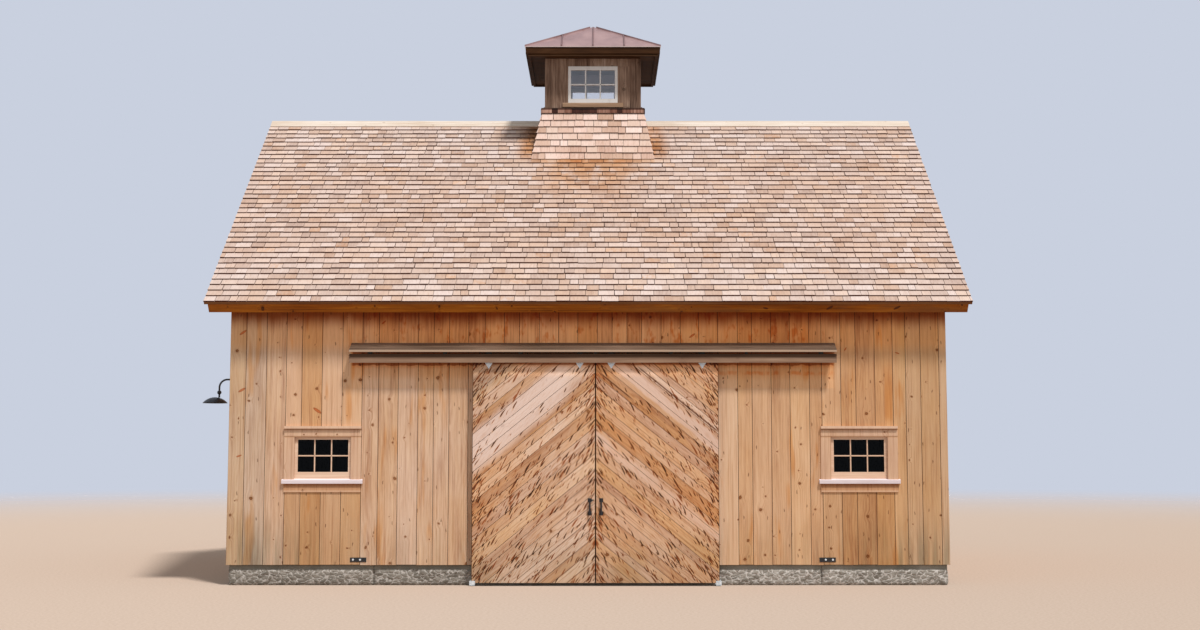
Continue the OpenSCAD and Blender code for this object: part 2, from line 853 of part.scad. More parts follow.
// A flat steel arm under the hood that carries the front board, with a wall plate and the rail's spacer
module hood_bracket() {
    arm_out = valance_out - valance_t;
    along_x(-bracket_w / 2, bracket_w / 2) {
        polygon([
            [-half_d, bracket_plate_z], [-half_d, hood_under(0)],
            [-half_d - arm_out, hood_under(arm_out)],
            [-half_d - arm_out, hood_under(arm_out) - bracket_leg],
            [-half_d - arm_out + bracket_t, hood_under(arm_out) - bracket_leg],
            [-half_d - arm_out + bracket_t, hood_under(arm_out) - bracket_t],
            [-half_d - bracket_t, hood_under(0) - bracket_t],
            [-half_d - bracket_t, bracket_plate_z]
        ]);
    }
    translate([0, rail_y + rail_t / 2, rail_z + rail_h / 2]) rotate([-90, 0, 0])
        cylinder(d = spacer_d, h = -half_d - rail_y - rail_t / 2);
}

module hood_brackets() color(zinc_c) {
    spacing = 2 * (rail_half - bracket_end) / (bracket_n - 1);
    for (i = [0 : bracket_n - 1])
        translate([door_x - rail_half + bracket_end + i * spacing, 0, 0]) hood_bracket();
}

// Flat rail with a stop at the end of each leaf's travel
module door_rail() color(zinc_c) {
    translate([door_x, 0, 0]) {
        block([-rail_half, rail_y - rail_t / 2, rail_z], [rail_half, rail_y + rail_t / 2, rail_top]);
        left_and_right() block(
            [stop_x, rail_y - rail_t / 2, rail_z],
            [rail_half, rail_y + rail_t / 2, rail_top + stop_h]
        );
    }
}

module floor_guides() color(zinc_c) translate([door_x, 0, 0]) left_and_right() {
    front_y = leaf_front_y - guide_gap;
    low = guide_t;
    translate([leaf_outer_x + guide_past - guide_w / 2, 0, 0]) {
        block([-guide_w / 2, front_y - guide_t, low], [guide_w / 2, -stone_half_d, low + guide_t]);
        block([-guide_w / 2, front_y - guide_t, low], [guide_w / 2, front_y, guide_z]);
        block([-guide_w / 2, -stone_half_d - guide_t, low], [guide_w / 2, -stone_half_d, guide_z]);
    }
}

module wall_bars() color(iron_c) for (x = [hood_left + bar_inset, hood_right - bar_inset - bar_l])
    block([x, -half_d - bar_t, bar_z - bar_h / 2], [x + bar_l, -half_d, bar_z + bar_h / 2]);

// Lamp on the left gable
module lamp_arm() color(iron_c) translate([-half_w, -half_d + lamp_back, lamp_z]) {
    drop_low = shade_z + shade_h - shade_t;
    rotate([0, -90, 0]) cylinder(d = lamp_plate_d, h = lamp_plate_t);
    rotate([0, -90, 0]) cylinder(d = lamp_arm_d, h = lamp_out - lamp_bend_r);
    translate([-lamp_out + lamp_bend_r, 0, -lamp_bend_r]) rotate([90, 0, 0]) rotate([0, 0, 90])
        rotate_extrude(angle = 90) translate([lamp_bend_r, 0]) circle(d = lamp_arm_d);
    translate([-lamp_out, 0, drop_low - lamp_z])
        cylinder(d = lamp_arm_d, h = lamp_z - lamp_bend_r - drop_low);
    translate([-lamp_out, 0, (drop_low - lamp_z - lamp_bend_r) / 2]) sphere(d = lamp_ball_d);
}

// Shallow dome, open below, with its crown level round the arm
module lamp_shade() color(iron_c) {
    rim_r = shade_d / 2;
    dome_r = (rim_r * rim_r + shade_h * shade_h) / (2 * shade_h);
    translate([-half_w - lamp_out - shade_shift, -half_d + lamp_back, shade_z]) difference() {
        translate([0, 0, shade_h - dome_r]) difference() {
            sphere(r = dome_r);
            sphere(r = dome_r - shade_t);
        }
        translate([0, 0, -dome_r]) cube(2 * dome_r, center = true);
        translate([shade_shift, 0, 0]) cylinder(d = lamp_arm_d, h = 2 * shade_h);
    }
}

// Door leaves, drawn for the right leaf about the meeting line
module leaf_boards() color(board_c)
    block([leaf_inner_x, leaf_front_y, leaf_z], [leaf_outer_x, leaf_mid_y, leaf_top]);

module leaf_frame() color(frame_c) {
    for (x = [leaf_inner_x, leaf_outer_x - leaf_frame_w])
        block([x, leaf_mid_y, leaf_z], [x + leaf_frame_w, leaf_back_y, leaf_top]);
    for (z = [leaf_z, leaf_z + (leaf_h - leaf_frame_w) / 2, leaf_top - leaf_frame_w]) block(
        [leaf_inner_x + leaf_frame_w + seat_gap, leaf_mid_y, z],
        [leaf_outer_x - leaf_frame_w - seat_gap, leaf_back_y, z + leaf_frame_w]
    );
}

// Grooved wheel, its axle along Y
module track_wheel() {
    groove_r = wheel_r - groove_d;
    rotate([90, 0, 0]) rotate_extrude() polygon([
        [0, -wheel_w / 2], [wheel_r, -wheel_w / 2],
        [wheel_r, -groove_w / 2], [groove_r, -groove_w / 2],
        [groove_r, groove_w / 2], [wheel_r, groove_w / 2],
        [wheel_r, wheel_w / 2], [0, wheel_w / 2]
    ]);
}

module hanger() {
    shoulder = leaf_top - strap_drop + strap_point_h;
    axle_front = leaf_front_y - strap_t - bolt_head_t;
    along_y(leaf_front_y - strap_t, leaf_front_y) polygon([
        [0, leaf_top - strap_drop], [strap_w / 2, shoulder], [strap_w / 2, rail_top - groove_d],
        [strap_neck_w / 2, axle_z + strap_over_axle], [-strap_neck_w / 2, axle_z + strap_over_axle],
        [-strap_w / 2, rail_top - groove_d], [-strap_w / 2, shoulder]
    ]);
    translate([0, rail_y, axle_z]) track_wheel();
    translate([0, rail_y + wheel_w / 2 + bolt_head_t, axle_z]) rotate([90, 0, 0])
        cylinder(d = axle_d, h = rail_y + wheel_w / 2 + bolt_head_t - axle_front);
    translate([0, leaf_front_y - strap_t, axle_z]) rotate([90, 0, 0])
        cylinder(d = bolt_head_d, h = bolt_head_t);
}

module leaf_hangers() color(zinc_c) for (x = [hanger_in, hanger_out]) translate([x, 0, 0]) hanger();

// Upright round grip on two feet with end plates
module leaf_handle() color(iron_c) translate([handle_x, leaf_front_y, handle_z]) {
    for (side = [-1, 1]) translate([0, 0, side * (handle_l - pad_w) / 2]) {
        translate([-pad_w / 2, -pad_t, -pad_w / 2]) cube([pad_w, pad_t, pad_w]);
        rotate([90, 0, 0]) cylinder(d = grip_d, h = grip_out - grip_d / 2);
    }
    translate([0, -grip_out + grip_d / 2, -handle_l / 2]) cylinder(d = grip_d, h = handle_l);
}

// Latch hook that reaches from the left handle's upper plate towards the meeting line
module latch_hook() color(iron_c) {
    hook_z = handle_z + (handle_l - pad_w) / 2;
    block(
        [-handle_x, leaf_front_y - pad_t, hook_z - hook_h / 2],
        [-handle_x + hook_l, leaf_front_y, hook_z + hook_h / 2]
    );
}

module right_leaf() {
    translate([door_x, 0, 0]) children();
}

module left_leaf() {
    translate([door_x, 0, 0]) mirror([1, 0, 0]) children();
}

module left_door_boards() left_leaf() leaf_boards();
module left_door_frame() left_leaf() leaf_frame();
module left_door_hangers() left_leaf() leaf_hangers();
module left_door_handle() {
    left_leaf() leaf_handle();
    right_leaf() latch_hook();
}
module right_door_boards() right_leaf() leaf_boards();
module right_door_frame() right_leaf() leaf_frame();
module right_door_hangers() right_leaf() leaf_hangers();
module right_door_handle() right_leaf() leaf_handle();

foundation_front();
foundation_back();
foundation_ends();
floor_slab();
front_wall_left();
front_wall_right();
front_wall_over_door();
back_wall();
left_gable_wall();
right_gable_wall();
posts();
wall_plates();
tie_beams();
door_lintel();
rafters();
ridge_beam();
roof_front();
roof_back();
eave_boards();
rake_boards();
ridge_boards();
window_casings();
window_sills();
window_sashes();
window_glass();
cupola_skirt();
cupola_band();
cupola_walls();
cupola_sills();
cupola_window_frames();
cupola_glass();
cupola_cornice();
cupola_roof();
track_hood();
hood_valance();
hood_brackets();
door_rail();
floor_guides();
wall_bars();
lamp_arm();
lamp_shade();
left_door_boards();
left_door_frame();
left_door_hangers();
left_door_handle();
right_door_boards();
right_door_frame();
right_door_hangers();
right_door_handle();
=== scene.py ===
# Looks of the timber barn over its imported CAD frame, in metres, front towards -Y
import itertools
import math
import random
from functools import partialmethod

import bpy
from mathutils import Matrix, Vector, noise


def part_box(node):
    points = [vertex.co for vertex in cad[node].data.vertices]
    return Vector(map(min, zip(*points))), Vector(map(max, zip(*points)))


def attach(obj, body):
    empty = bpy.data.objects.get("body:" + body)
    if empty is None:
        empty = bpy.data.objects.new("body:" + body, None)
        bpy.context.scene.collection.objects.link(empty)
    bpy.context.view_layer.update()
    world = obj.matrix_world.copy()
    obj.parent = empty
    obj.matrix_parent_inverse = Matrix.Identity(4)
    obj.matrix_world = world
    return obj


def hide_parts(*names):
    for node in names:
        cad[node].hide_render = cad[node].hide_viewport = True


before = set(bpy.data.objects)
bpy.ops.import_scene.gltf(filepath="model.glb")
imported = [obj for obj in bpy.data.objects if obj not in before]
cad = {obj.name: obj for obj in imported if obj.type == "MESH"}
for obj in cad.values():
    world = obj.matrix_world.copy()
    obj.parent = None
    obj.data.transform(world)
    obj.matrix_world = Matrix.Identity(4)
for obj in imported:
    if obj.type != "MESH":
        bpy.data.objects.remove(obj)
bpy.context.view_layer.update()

# Main faces of the CAD frame
WALL_LO, WALL_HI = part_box("back_wall")
HALF_W = WALL_HI.x
HALF_D = WALL_HI.y
BASE_Z = WALL_LO.z
DOOR_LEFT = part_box("front_wall_left")[1].x
DOOR_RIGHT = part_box("front_wall_right")[0].x
DOOR_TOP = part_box("front_wall_over_door")[0].z
DOOR_MIDDLE = 0.093
WINDOW_XS = (-3.375, 3.446)
ROOF_LO, ROOF_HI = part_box("roof_front")
RIDGE_Z = ROOF_HI.z
RAKE_X = ROOF_HI.x
SLOPE = math.radians(39.8)
PITCH = math.tan(SLOPE)
SLOPE_TIP = -ROOF_LO.y / math.cos(SLOPE)
SOFFIT_DEPTH = 0.1803
RIDGE_BOARD_W = 0.156
STONE_LO, STONE_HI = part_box("foundation_back")
STONE_X = STONE_HI.x
STONE_Y = STONE_HI.y
STONE_T = STONE_HI.y - STONE_LO.y
CUPOLA_LO, CUPOLA_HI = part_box("cupola_walls")
CUPOLA_X = (CUPOLA_LO.x + CUPOLA_HI.x) / 2
CUPOLA_HALF = CUPOLA_HI.y
BAND_LO, BAND_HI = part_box("cupola_band")
SKIRT_TOP = BAND_LO.z
SKIRT_HALF = CUPOLA_HALF + 0.039
SKIRT_FLARE = 0.2035

X = Vector((1, 0, 0))
Y = Vector((0, 1, 0))
Z = Vector((0, 0, 1))
SIDES = (X, Y, -X, -Y)


def roof_z(run, depth=0.0):
    return RIDGE_Z - PITCH * run - depth / math.cos(SLOPE)


# Colours, as measured, in sRGB
def rgb(red, green, blue):
    def channel(value):
        value /= 255
        return value / 12.92 if value <= 0.04045 else ((value + 0.055) / 1.055) ** 2.4
    return (channel(red), channel(green), channel(blue), 1)


def palette(*colours):
    return [rgb(*colour) for colour in colours]


# Convex outlines
def sides(outline):
    """Each corner with the next one"""
    return zip(outline, outline[1:] + outline[:1])


def inset(outline, amount):
    """The outline moved inwards on all sides"""
    lines = []
    for (ax, ay), (bx, by) in sides(outline):
        dx, dy = bx - ax, by - ay
        size = math.hypot(dx, dy)
        lines.append((ax - dy / size * amount, ay + dx / size * amount, dx, dy))
    found = []
    for i, (x2, y2, dx2, dy2) in enumerate(lines):
        x1, y1, dx1, dy1 = lines[i - 1]
        t = ((x2 - x1) * dy2 - (y2 - y1) * dx2) / (dx1 * dy2 - dy1 * dx2)
        found.append((x1 + dx1 * t, y1 + dy1 * t))
    return found


def clip(outline, a, b, c):
    """The part of a convex outline where a*x + b*y <= c"""
    found = []
    for p, q in sides(outline):
        p_over = a * p[0] + b * p[1] - c
        q_over = a * q[0] + b * q[1] - c
        if p_over <= 0:
            found.append(p)
        if (p_over < 0 < q_over) or (q_over < 0 < p_over):
            t = p_over / (p_over - q_over)
            found.append((p[0] + (q[0] - p[0]) * t, p[1] + (q[1] - p[1]) * t))
    return tidy(found)


def tidy(outline, shortest=0.002):
    """The outline without short sides and flat corners, or none where little is left"""
    found = []
    for p in outline:
        if not found or math.dist(p, found[-1]) > shortest:
            found.append(p)
    while len(found) > 1 and math.dist(found[0], found[-1]) <= shortest:
        found.pop()
    corners = []
    for i, (p, after) in enumerate(sides(found)):
        before = found[i - 1]
        cross = (p[0] - before[0]) * (after[1] - p[1]) - (p[1] - before[1]) * (after[0] - p[0])
        if cross > 1e-7:
            corners.append(p)
    return corners if len(corners) > 2 and area(corners) > 2e-5 else []


def area(outline):
    return sum(p[0] * q[1] - p[1] * q[0] for p, q in sides(outline)) / 2


def rectangle(x0, y0, x1, y1):
    return [(x0, y0), (x1, y0), (x1, y1), (x0, y1)]


def circle(x, y, radius, count):
    turns = [i * math.tau / count for i in range(count)]
    return [(x + radius * math.cos(turn), y + radius * math.sin(turn)) for turn in turns]


# Planes that boards lie on: origin, right, up or down, outwards
def upright(right, reach, x=0.0):
    """The upright plane that faces outwards, reach from the middle of the barn or of what stands at x"""
    outwards = right.cross(Z)
    return (Vector((x, 0, 0)) + outwards * reach, right, Z, outwards)


def add_object(name, data):
    made = bpy.data.objects.new(name, data)
    bpy.context.scene.collection.objects.link(made)
    return made


class Mesh:
    """Closed boards, shingles and blocks in one mesh, each with its own grain, tone and mark; on shingles the
    mark is dark end grain with painted shade of the butts
    """

    def __init__(self, seed):
        self.points = []
        self.faces = []
        self.grain = []
        self.tone = []
        self.mark = []
        self.random = random.Random(seed)

    def add(self, face, tone, mark=0.0):
        self.faces.append(face)
        self.tone.append(tone)
        self.mark.append(mark)

    def slab(self, plane, outline, depth, chamfer=0.0, tone=None, along=(0, 1), end_mark=0.0):
        """A piece with straight sides. depth is the height of the front face, as a number or as a
        function of (x, y); along is the grain, and end_mark the share of the mark on the sides that it runs
        into, which on shingles is dark end grain with painted shade of the butts"""
        origin, right, up, out = plane
        flip = right.cross(up).dot(out) < 0
        height = depth if callable(depth) else (lambda a, b: depth)
        shift = [self.random.uniform(-40, 40) for _ in range(3)]
        if tone is None:
            tone = self.random.random()
        rings = [(outline, 0.0, 0.0), (outline, 1.0, chamfer)]
        if chamfer:
            rings.append((inset(outline, chamfer), 1.0, 0.0))
        start = len(self.points)
        count = len(outline)
        for ring, rise, drop in rings:
            for a, b in ring:
                h = rise * height(a, b) - drop
                self.points.append(origin + right * a + up * b + out * h)
                self.grain.append((
                    a * along[1] - b * along[0] + shift[0],
                    h + shift[1],
                    a * along[0] + b * along[1] + shift[2],
                ))
        faces = [(list(range(start + count - 1, start - 1, -1)), 0.0)]
        for level in range(len(rings) - 1):
            low = start + level * count
            for i in range(count):
                j = (i + 1) % count
                at_end = level == 0 and self.is_end(outline[i], outline[j], along)
                face = [low + i, low + j, low + count + j, low + count + i]
                faces.append((face, end_mark if at_end else 0.0))
        top = start + (len(rings) - 1) * count
        faces.append((list(range(top, top + count)), 0.0))
        for face, mark in faces:
            self.add(face[::-1] if flip else face, tone, mark)

    @staticmethod
    def is_end(p, q, along):
        dx, dy = q[0] - p[0], q[1] - p[1]
        return abs(dx * along[0] + dy * along[1]) < 0.5 * math.hypot(dx, dy)

    def shape(self, points, faces, tone):
        start = len(self.points)
        shift = [self.random.uniform(-40, 40) for _ in range(3)]
        for p in points:
            self.points.append(Vector(p))
            self.grain.append((p[0] + shift[0], p[1] + shift[1], p[2] + shift[2]))
        for face in faces:
            self.add([start + i for i in face], tone)

    def make(self, name, material, body="barn", smooth=False):
        data = bpy.data.meshes.new(name)
        data.from_pydata([tuple(p) for p in self.points], [], self.faces)
        grain = data.attributes.new("grain", "FLOAT_VECTOR", "POINT")
        grain.data.foreach_set("vector", [value for point in self.grain for value in point])
        for key, values in (("tone", self.tone), ("mark", self.mark)):
            data.attributes.new(key, "FLOAT", "FACE").data.foreach_set("value", values)
        data.materials.append(material)
        if smooth:
            data.polygons.foreach_set("use_smooth", [True] * len(data.polygons))
        data.update()
        made = add_object(name, data)
        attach(made, body)
        return made


# Node materials
class Value:
    """A number, colour or vector that the nodes of a material compute"""

    def __init__(self, shader, socket):
        self.shader = shader
        self.socket = socket

    def math(self, operation, *others):
        return self.shader.math(operation, self, *others)

    def __rsub__(self, other):
        return self.shader.math("SUBTRACT", other, self)

    __add__ = partialmethod(math, "ADD")
    __sub__ = partialmethod(math, "SUBTRACT")
    __mul__ = partialmethod(math, "MULTIPLY")
    __truediv__ = partialmethod(math, "DIVIDE")
    __pow__ = partialmethod(math, "POWER")
    __abs__ = partialmethod(math, "ABSOLUTE")
    above = partialmethod(math, "GREATER_THAN")
    below = partialmethod(math, "LESS_THAN")

    def span(self, from_low, from_high, to_low=0.0, to_high=1.0, smooth=True):
        """from_low to from_high turned into to_low to to_high, without passing either"""
        return self.shader.value("ShaderNodeMapRange", {
            "Value": self, "From Min": from_low, "From Max": from_high, "To Min": to_low, "To Max": to_high,
        }, interpolation_type="SMOOTHSTEP" if smooth else "LINEAR")

    def near(self, middle, reach, soft):
        """1 within reach of middle, and 0 past soft more"""
        return abs(self - middle).span(reach + soft, reach)

    def mix(self, first, second, blend="MIX"):
        """first where this is 0, second where it is 1"""
        return self.shader.value(
            "ShaderNodeMix", {0: self, 6: first, 7: second}, 2,
            data_type="RGBA", blend_type=blend, clamp_factor=True,
        )

    def to(self, factor, second):
        """This colour where factor is 0, second where it is 1"""
        return factor.mix(self, second)

    def tint(self, factor, tint, strength=1.0):
        """This colour times tint where factor is 1"""
        return (factor * strength).mix(self, tint + (1,), "MULTIPLY")

    def tints(self, *rows):
        """Several tints, each as factor, tint and strength"""
        colour = self
        for row in rows:
            colour = colour.tint(*row)
        return colour

    def ramp(self, stops, colours):
        made = self.shader.node("ShaderNodeValToRGB", {0: self})
        elements = made.color_ramp.elements
        while len(elements) < len(stops):
            elements.new(0.5)
        for element, position, colour in zip(elements, stops, colours):
            element.position = position
            element.color = colour
        return Value(self.shader, made.outputs[0])

    def split(self):
        sockets = self.shader.node("ShaderNodeSeparateXYZ", {0: self}).outputs
        return [Value(self.shader, socket) for socket in sockets]

    def vector(self, operation, other=None, output=0):
        return self.shader.value("ShaderNodeVectorMath", {0: self, 1: other}, output, operation=operation)

    def scaled(self, scale, move=(0, 0, 0), turn=(0, 0, 0)):
        return self.shader.value(
            "ShaderNodeMapping", {"Vector": self, "Scale": scale, "Location": move, "Rotation": turn},
        )

    def noise(self, scale, detail=2.0, rough=0.5, warp=0.0, move=(0, 0, 0), output="Fac"):
        """Noise of one scale, or of one for each axis"""
        place = self
        if isinstance(scale, tuple):
            place, scale = self.scaled(scale, move), 1.0
        return self.shader.value("ShaderNodeTexNoise", {
            "Vector": place, "Scale": scale, "Detail": detail, "Roughness": rough, "Distortion": warp,
        }, output)

    def cells(self, scale, output="Distance", feature="F1", dimensions="2D"):
        return self.shader.value(
            "ShaderNodeTexVoronoi", {"Vector": self, "Scale": scale}, output,
            feature=feature, voronoi_dimensions=dimensions,
        )

    def bump(self, distance, strength):
        return self.shader.value(
            "ShaderNodeBump", {"Height": self, "Distance": distance, "Strength": strength},
        )


class Shader:
    """A material or world made of nodes"""

    def __init__(self, name, kind="materials"):
        self.data = getattr(bpy.data, kind).new(name)
        self.data.use_nodes = True
        self.tree = self.data.node_tree
        self.tree.nodes.clear()

    def put(self, socket, value):
        if isinstance(value, Value):
            value = value.socket
        if isinstance(value, bpy.types.NodeSocket):
            self.tree.links.new(value, socket)
        elif value is not None:
            socket.default_value = value

    def node(self, kind, inputs, **settings):
        made = self.tree.nodes.new(kind)
        for key, value in settings.items():
            setattr(made, key, value)
        for key, value in inputs.items():
            self.put(made.inputs[key], value)
        return made

    def value(self, kind, inputs, output=0, **settings):
        return Value(self, self.node(kind, inputs, **settings).outputs[output])

    def math(self, operation, *values):
        return self.value("ShaderNodeMath", dict(enumerate(values)), operation=operation)

    def place(self):
        return self.value("ShaderNodeTexCoord", {}, "Object")

    def normal(self):
        return self.value("ShaderNodeNewGeometry", {}, "Normal")

    def attribute(self, name, output="Fac"):
        return self.value("ShaderNodeAttribute", {}, output, attribute_name=name)

    def join(self, x, y, z):
        return self.value("ShaderNodeCombineXYZ", {0: x, 1: y, 2: z})

    def finish(self, colour, roughness, normal, **more):
        shader = self.node("ShaderNodeBsdfPrincipled", {
            "Base Color": colour, "Roughness": roughness, "Normal": normal, **more,
        })
        self.node("ShaderNodeOutputMaterial", {"Surface": shader.outputs[0]}).is_active_output = True
        return self.data


def surface(name):
    """A new material, and the places of its points on the object"""
    shader = Shader(name)
    return shader, shader.place()


def shade(colour, *shares):
    """A colour with its channels cut to shares"""
    return tuple(value * share for value, share in zip(colour, shares)) + (1,)


def wood(
    name, pale, gold=None, axis="grain", contrast=1.0, knots=1.0, tone_range=0.3, relief=0.0012, end_grain_and_shade=None,
    extra=None, board_pitch=None, gold_share=0.35, gold_spread=0.6, dashes=0.0, lines=0.35, gloss=0.2,
):
    """Wood whose grain runs along axis, which is x, y or z of the object, or its own grain attribute.
    pale and gold are palettes of four colours from dark to light, mixed board by board and in soft patches.
    marked tints what has a mark: on shingles, dark end grain with painted shade of the butts. extra(colour,
    place) adds stains, and on some woods painted light and shade."""
    gold = gold or pale
    shader, place = surface(name)
    if axis == "grain":
        grain = shader.attribute("grain", "Vector")
        tone = shader.attribute("tone")
        hue = (tone * 17.31).math("FRACT")
    else:
        parts = place.split()
        order = {"x": (1, 2, 0), "y": (0, 2, 1), "z": (0, 1, 2)}[axis]
        grain = shader.join(*(parts[i] for i in order))
        tone = place.noise((0.9, 0.9, 0.9), 0.0)
        hue = place.noise((0.6, 0.6, 0.6), 0.0, move=(7, 3, 5))
    across = grain.split()
    warp = grain.noise((26, 26, 26), 1.0, output="Color").split()
    flat = shader.join(warp[0] * 0.02 + across[0], warp[1] * 0.03 + across[2], 0.0)

    # Knots bend the grain round them
    knot_pick = flat.cells(3.9, "Color").split()
    picked = knot_pick[0].above(0.5)
    knot_size = (knot_pick[1] ** 2.2).span(0.0, 1.0, 0.018, 0.085, False)
    closeness = flat.cells(3.9) / knot_size
    bent = closeness.span(6.0, 0.5) * picked * (0.03 * knots) + across[0]
    bent_grain = shader.join(bent, across[1], across[2])

    # Broad and fine streaks, threads and arches
    broad = bent_grain.noise((30, 30, 0.9), 3.0, 0.55, 0.3)
    fine = bent_grain.noise((190, 190, 7), 2.0, 0.6)
    thread = bent_grain.noise((80, 80, 0.7), 1.5, 0.5).span(0.55, 0.68)
    wander = bent_grain.noise((4, 4, 1.0), 1.0)
    arch = (bent * 150.0 + wander * 38.0).math("SINE")
    blotch = grain.noise((5, 5, 1.4), 2.0, 0.6)
    value = (broad - 0.5) * (0.62 * contrast) + 0.5
    value = arch * (0.03 * contrast) + value
    value = (fine - 0.5) * (0.34 * contrast) + value
    value = (blotch - 0.5) * (0.4 * contrast) + value
    value = (tone - 0.5) * tone_range + value
    stops = (0.12, 0.4, 0.62, 0.92)
    patch = place.noise((1.7, 1.7, 0.8), 2.0, 0.6)
    share = (hue - 0.5) * gold_spread + gold_share
    share = (patch - 0.5) * (1.5 * gold_spread) + share
    share = (broad - 0.5) * (0.9 * gold_spread) + share
    colour = share.mix(value.ramp(stops, pale), value.ramp(stops, gold))
    dark = shade(gold[0], 0.4, 0.4, 0.4)
    colour = colour.to(thread * lines, gold[0])
    if knots:
        round_about = closeness.span(2.4, 1.0) * picked
        inside = closeness.span(1.12, 0.9) * picked
        ring = inside * closeness.span(0.55, 0.8)
        large = knot_size.span(0.036, 0.05)
        heart = large.mix(shade(gold[0], 0.72, 0.5, 0.36), shade(gold[0], 0.8, 0.8, 0.8))
        colour = colour.to(round_about * (0.3 * knots), gold[0])
        colour = colour.to(inside * (0.9 * knots), heart)
        colour = colour.to(ring * (0.75 * knots), dark)
    if dashes:
        thin = flat.scaled((16.0, 4.2, 1.0))
        chosen = thin.cells(1.0, "Color").split()[0].above(0.86)
        dash = thin.cells(1.0).span(0.13, 0.06) * chosen
        colour = colour.to(dash * dashes, dark)
    height = fine * 0.6 + broad
    if board_pitch:
        edge = abs((across[0] / board_pitch).math("FRACT") - 0.5)
        joint = edge.span(0.5 - 0.004 / board_pitch, 0.5 - 0.002 / board_pitch)
        colour = colour.to(joint, dark)
        height = height - joint * 3.0
    if end_grain_and_shade:
        colour = colour.to(shader.attribute("mark"), end_grain_and_shade)
    if extra:
        colour = extra(colour, place)
    return shader.finish(colour, 0.72, height.bump(relief, 0.8), **{"Specular IOR Level": gloss})


# Large slanted knots: across, up, lean in degrees, half length
WALL_KNOTS = (
    (-4.42, 3.199, 35, 0.045), (-4.42, 2.463, 30, 0.045), (-4.44, 1.625, 20, 0.032),
    (-3.453, 2.202, -35, 0.055), (3.951, 2.936, -20, 0.026), (3.288, 2.987, 60, 0.024),
    (-2.62, 3.33, 40, 0.03), (1.33, 3.16, 35, 0.04),
)
EAVE_KNOTS = ((3.062, 3.496, 25, 0.04), (3.915, 3.496, 25, 0.04), (2.25, 3.49, -10, 0.03))


def spike_knots(colour, place, face, knots, heart):
    """Large slanted knots with a dark rim, where face is 1"""
    x, _, z = place.split()
    for across, level, lean, length in knots:
        lean = math.radians(lean)
        right = x - across
        up = z - level
        along = (right * math.cos(lean) + up * math.sin(lean)) / length
        aside = (right * -math.sin(lean) + up * math.cos(lean)) / (0.3 * length)
        closeness = (along * along + aside * aside).math("SQRT")
        colour = colour.to(closeness.span(1.15, 0.9) * face * 0.85, heart)
        colour = colour.tint(closeness.near(1.0, 0.05, 0.25) * face, (0.6, 0.42, 0.3), 0.8)
    return colour


# Panels over and under the windows: middle, half width, tint under and over
WINDOW_PANELS = (
    (-3.371, 0.486, (0.77, 0.63, 0.46), (0.93, 0.82, 0.7)),
    (3.4335, 0.4545, (0.86, 0.8, 0.7), (0.98, 0.94, 0.88)),
)
HOOD_X = 0.06
HOOD_HALF = 3.06
HOOD_UNDER_Z = 2.95
RESIN_X = 3.83
FACE_DEPTH = 0.0005


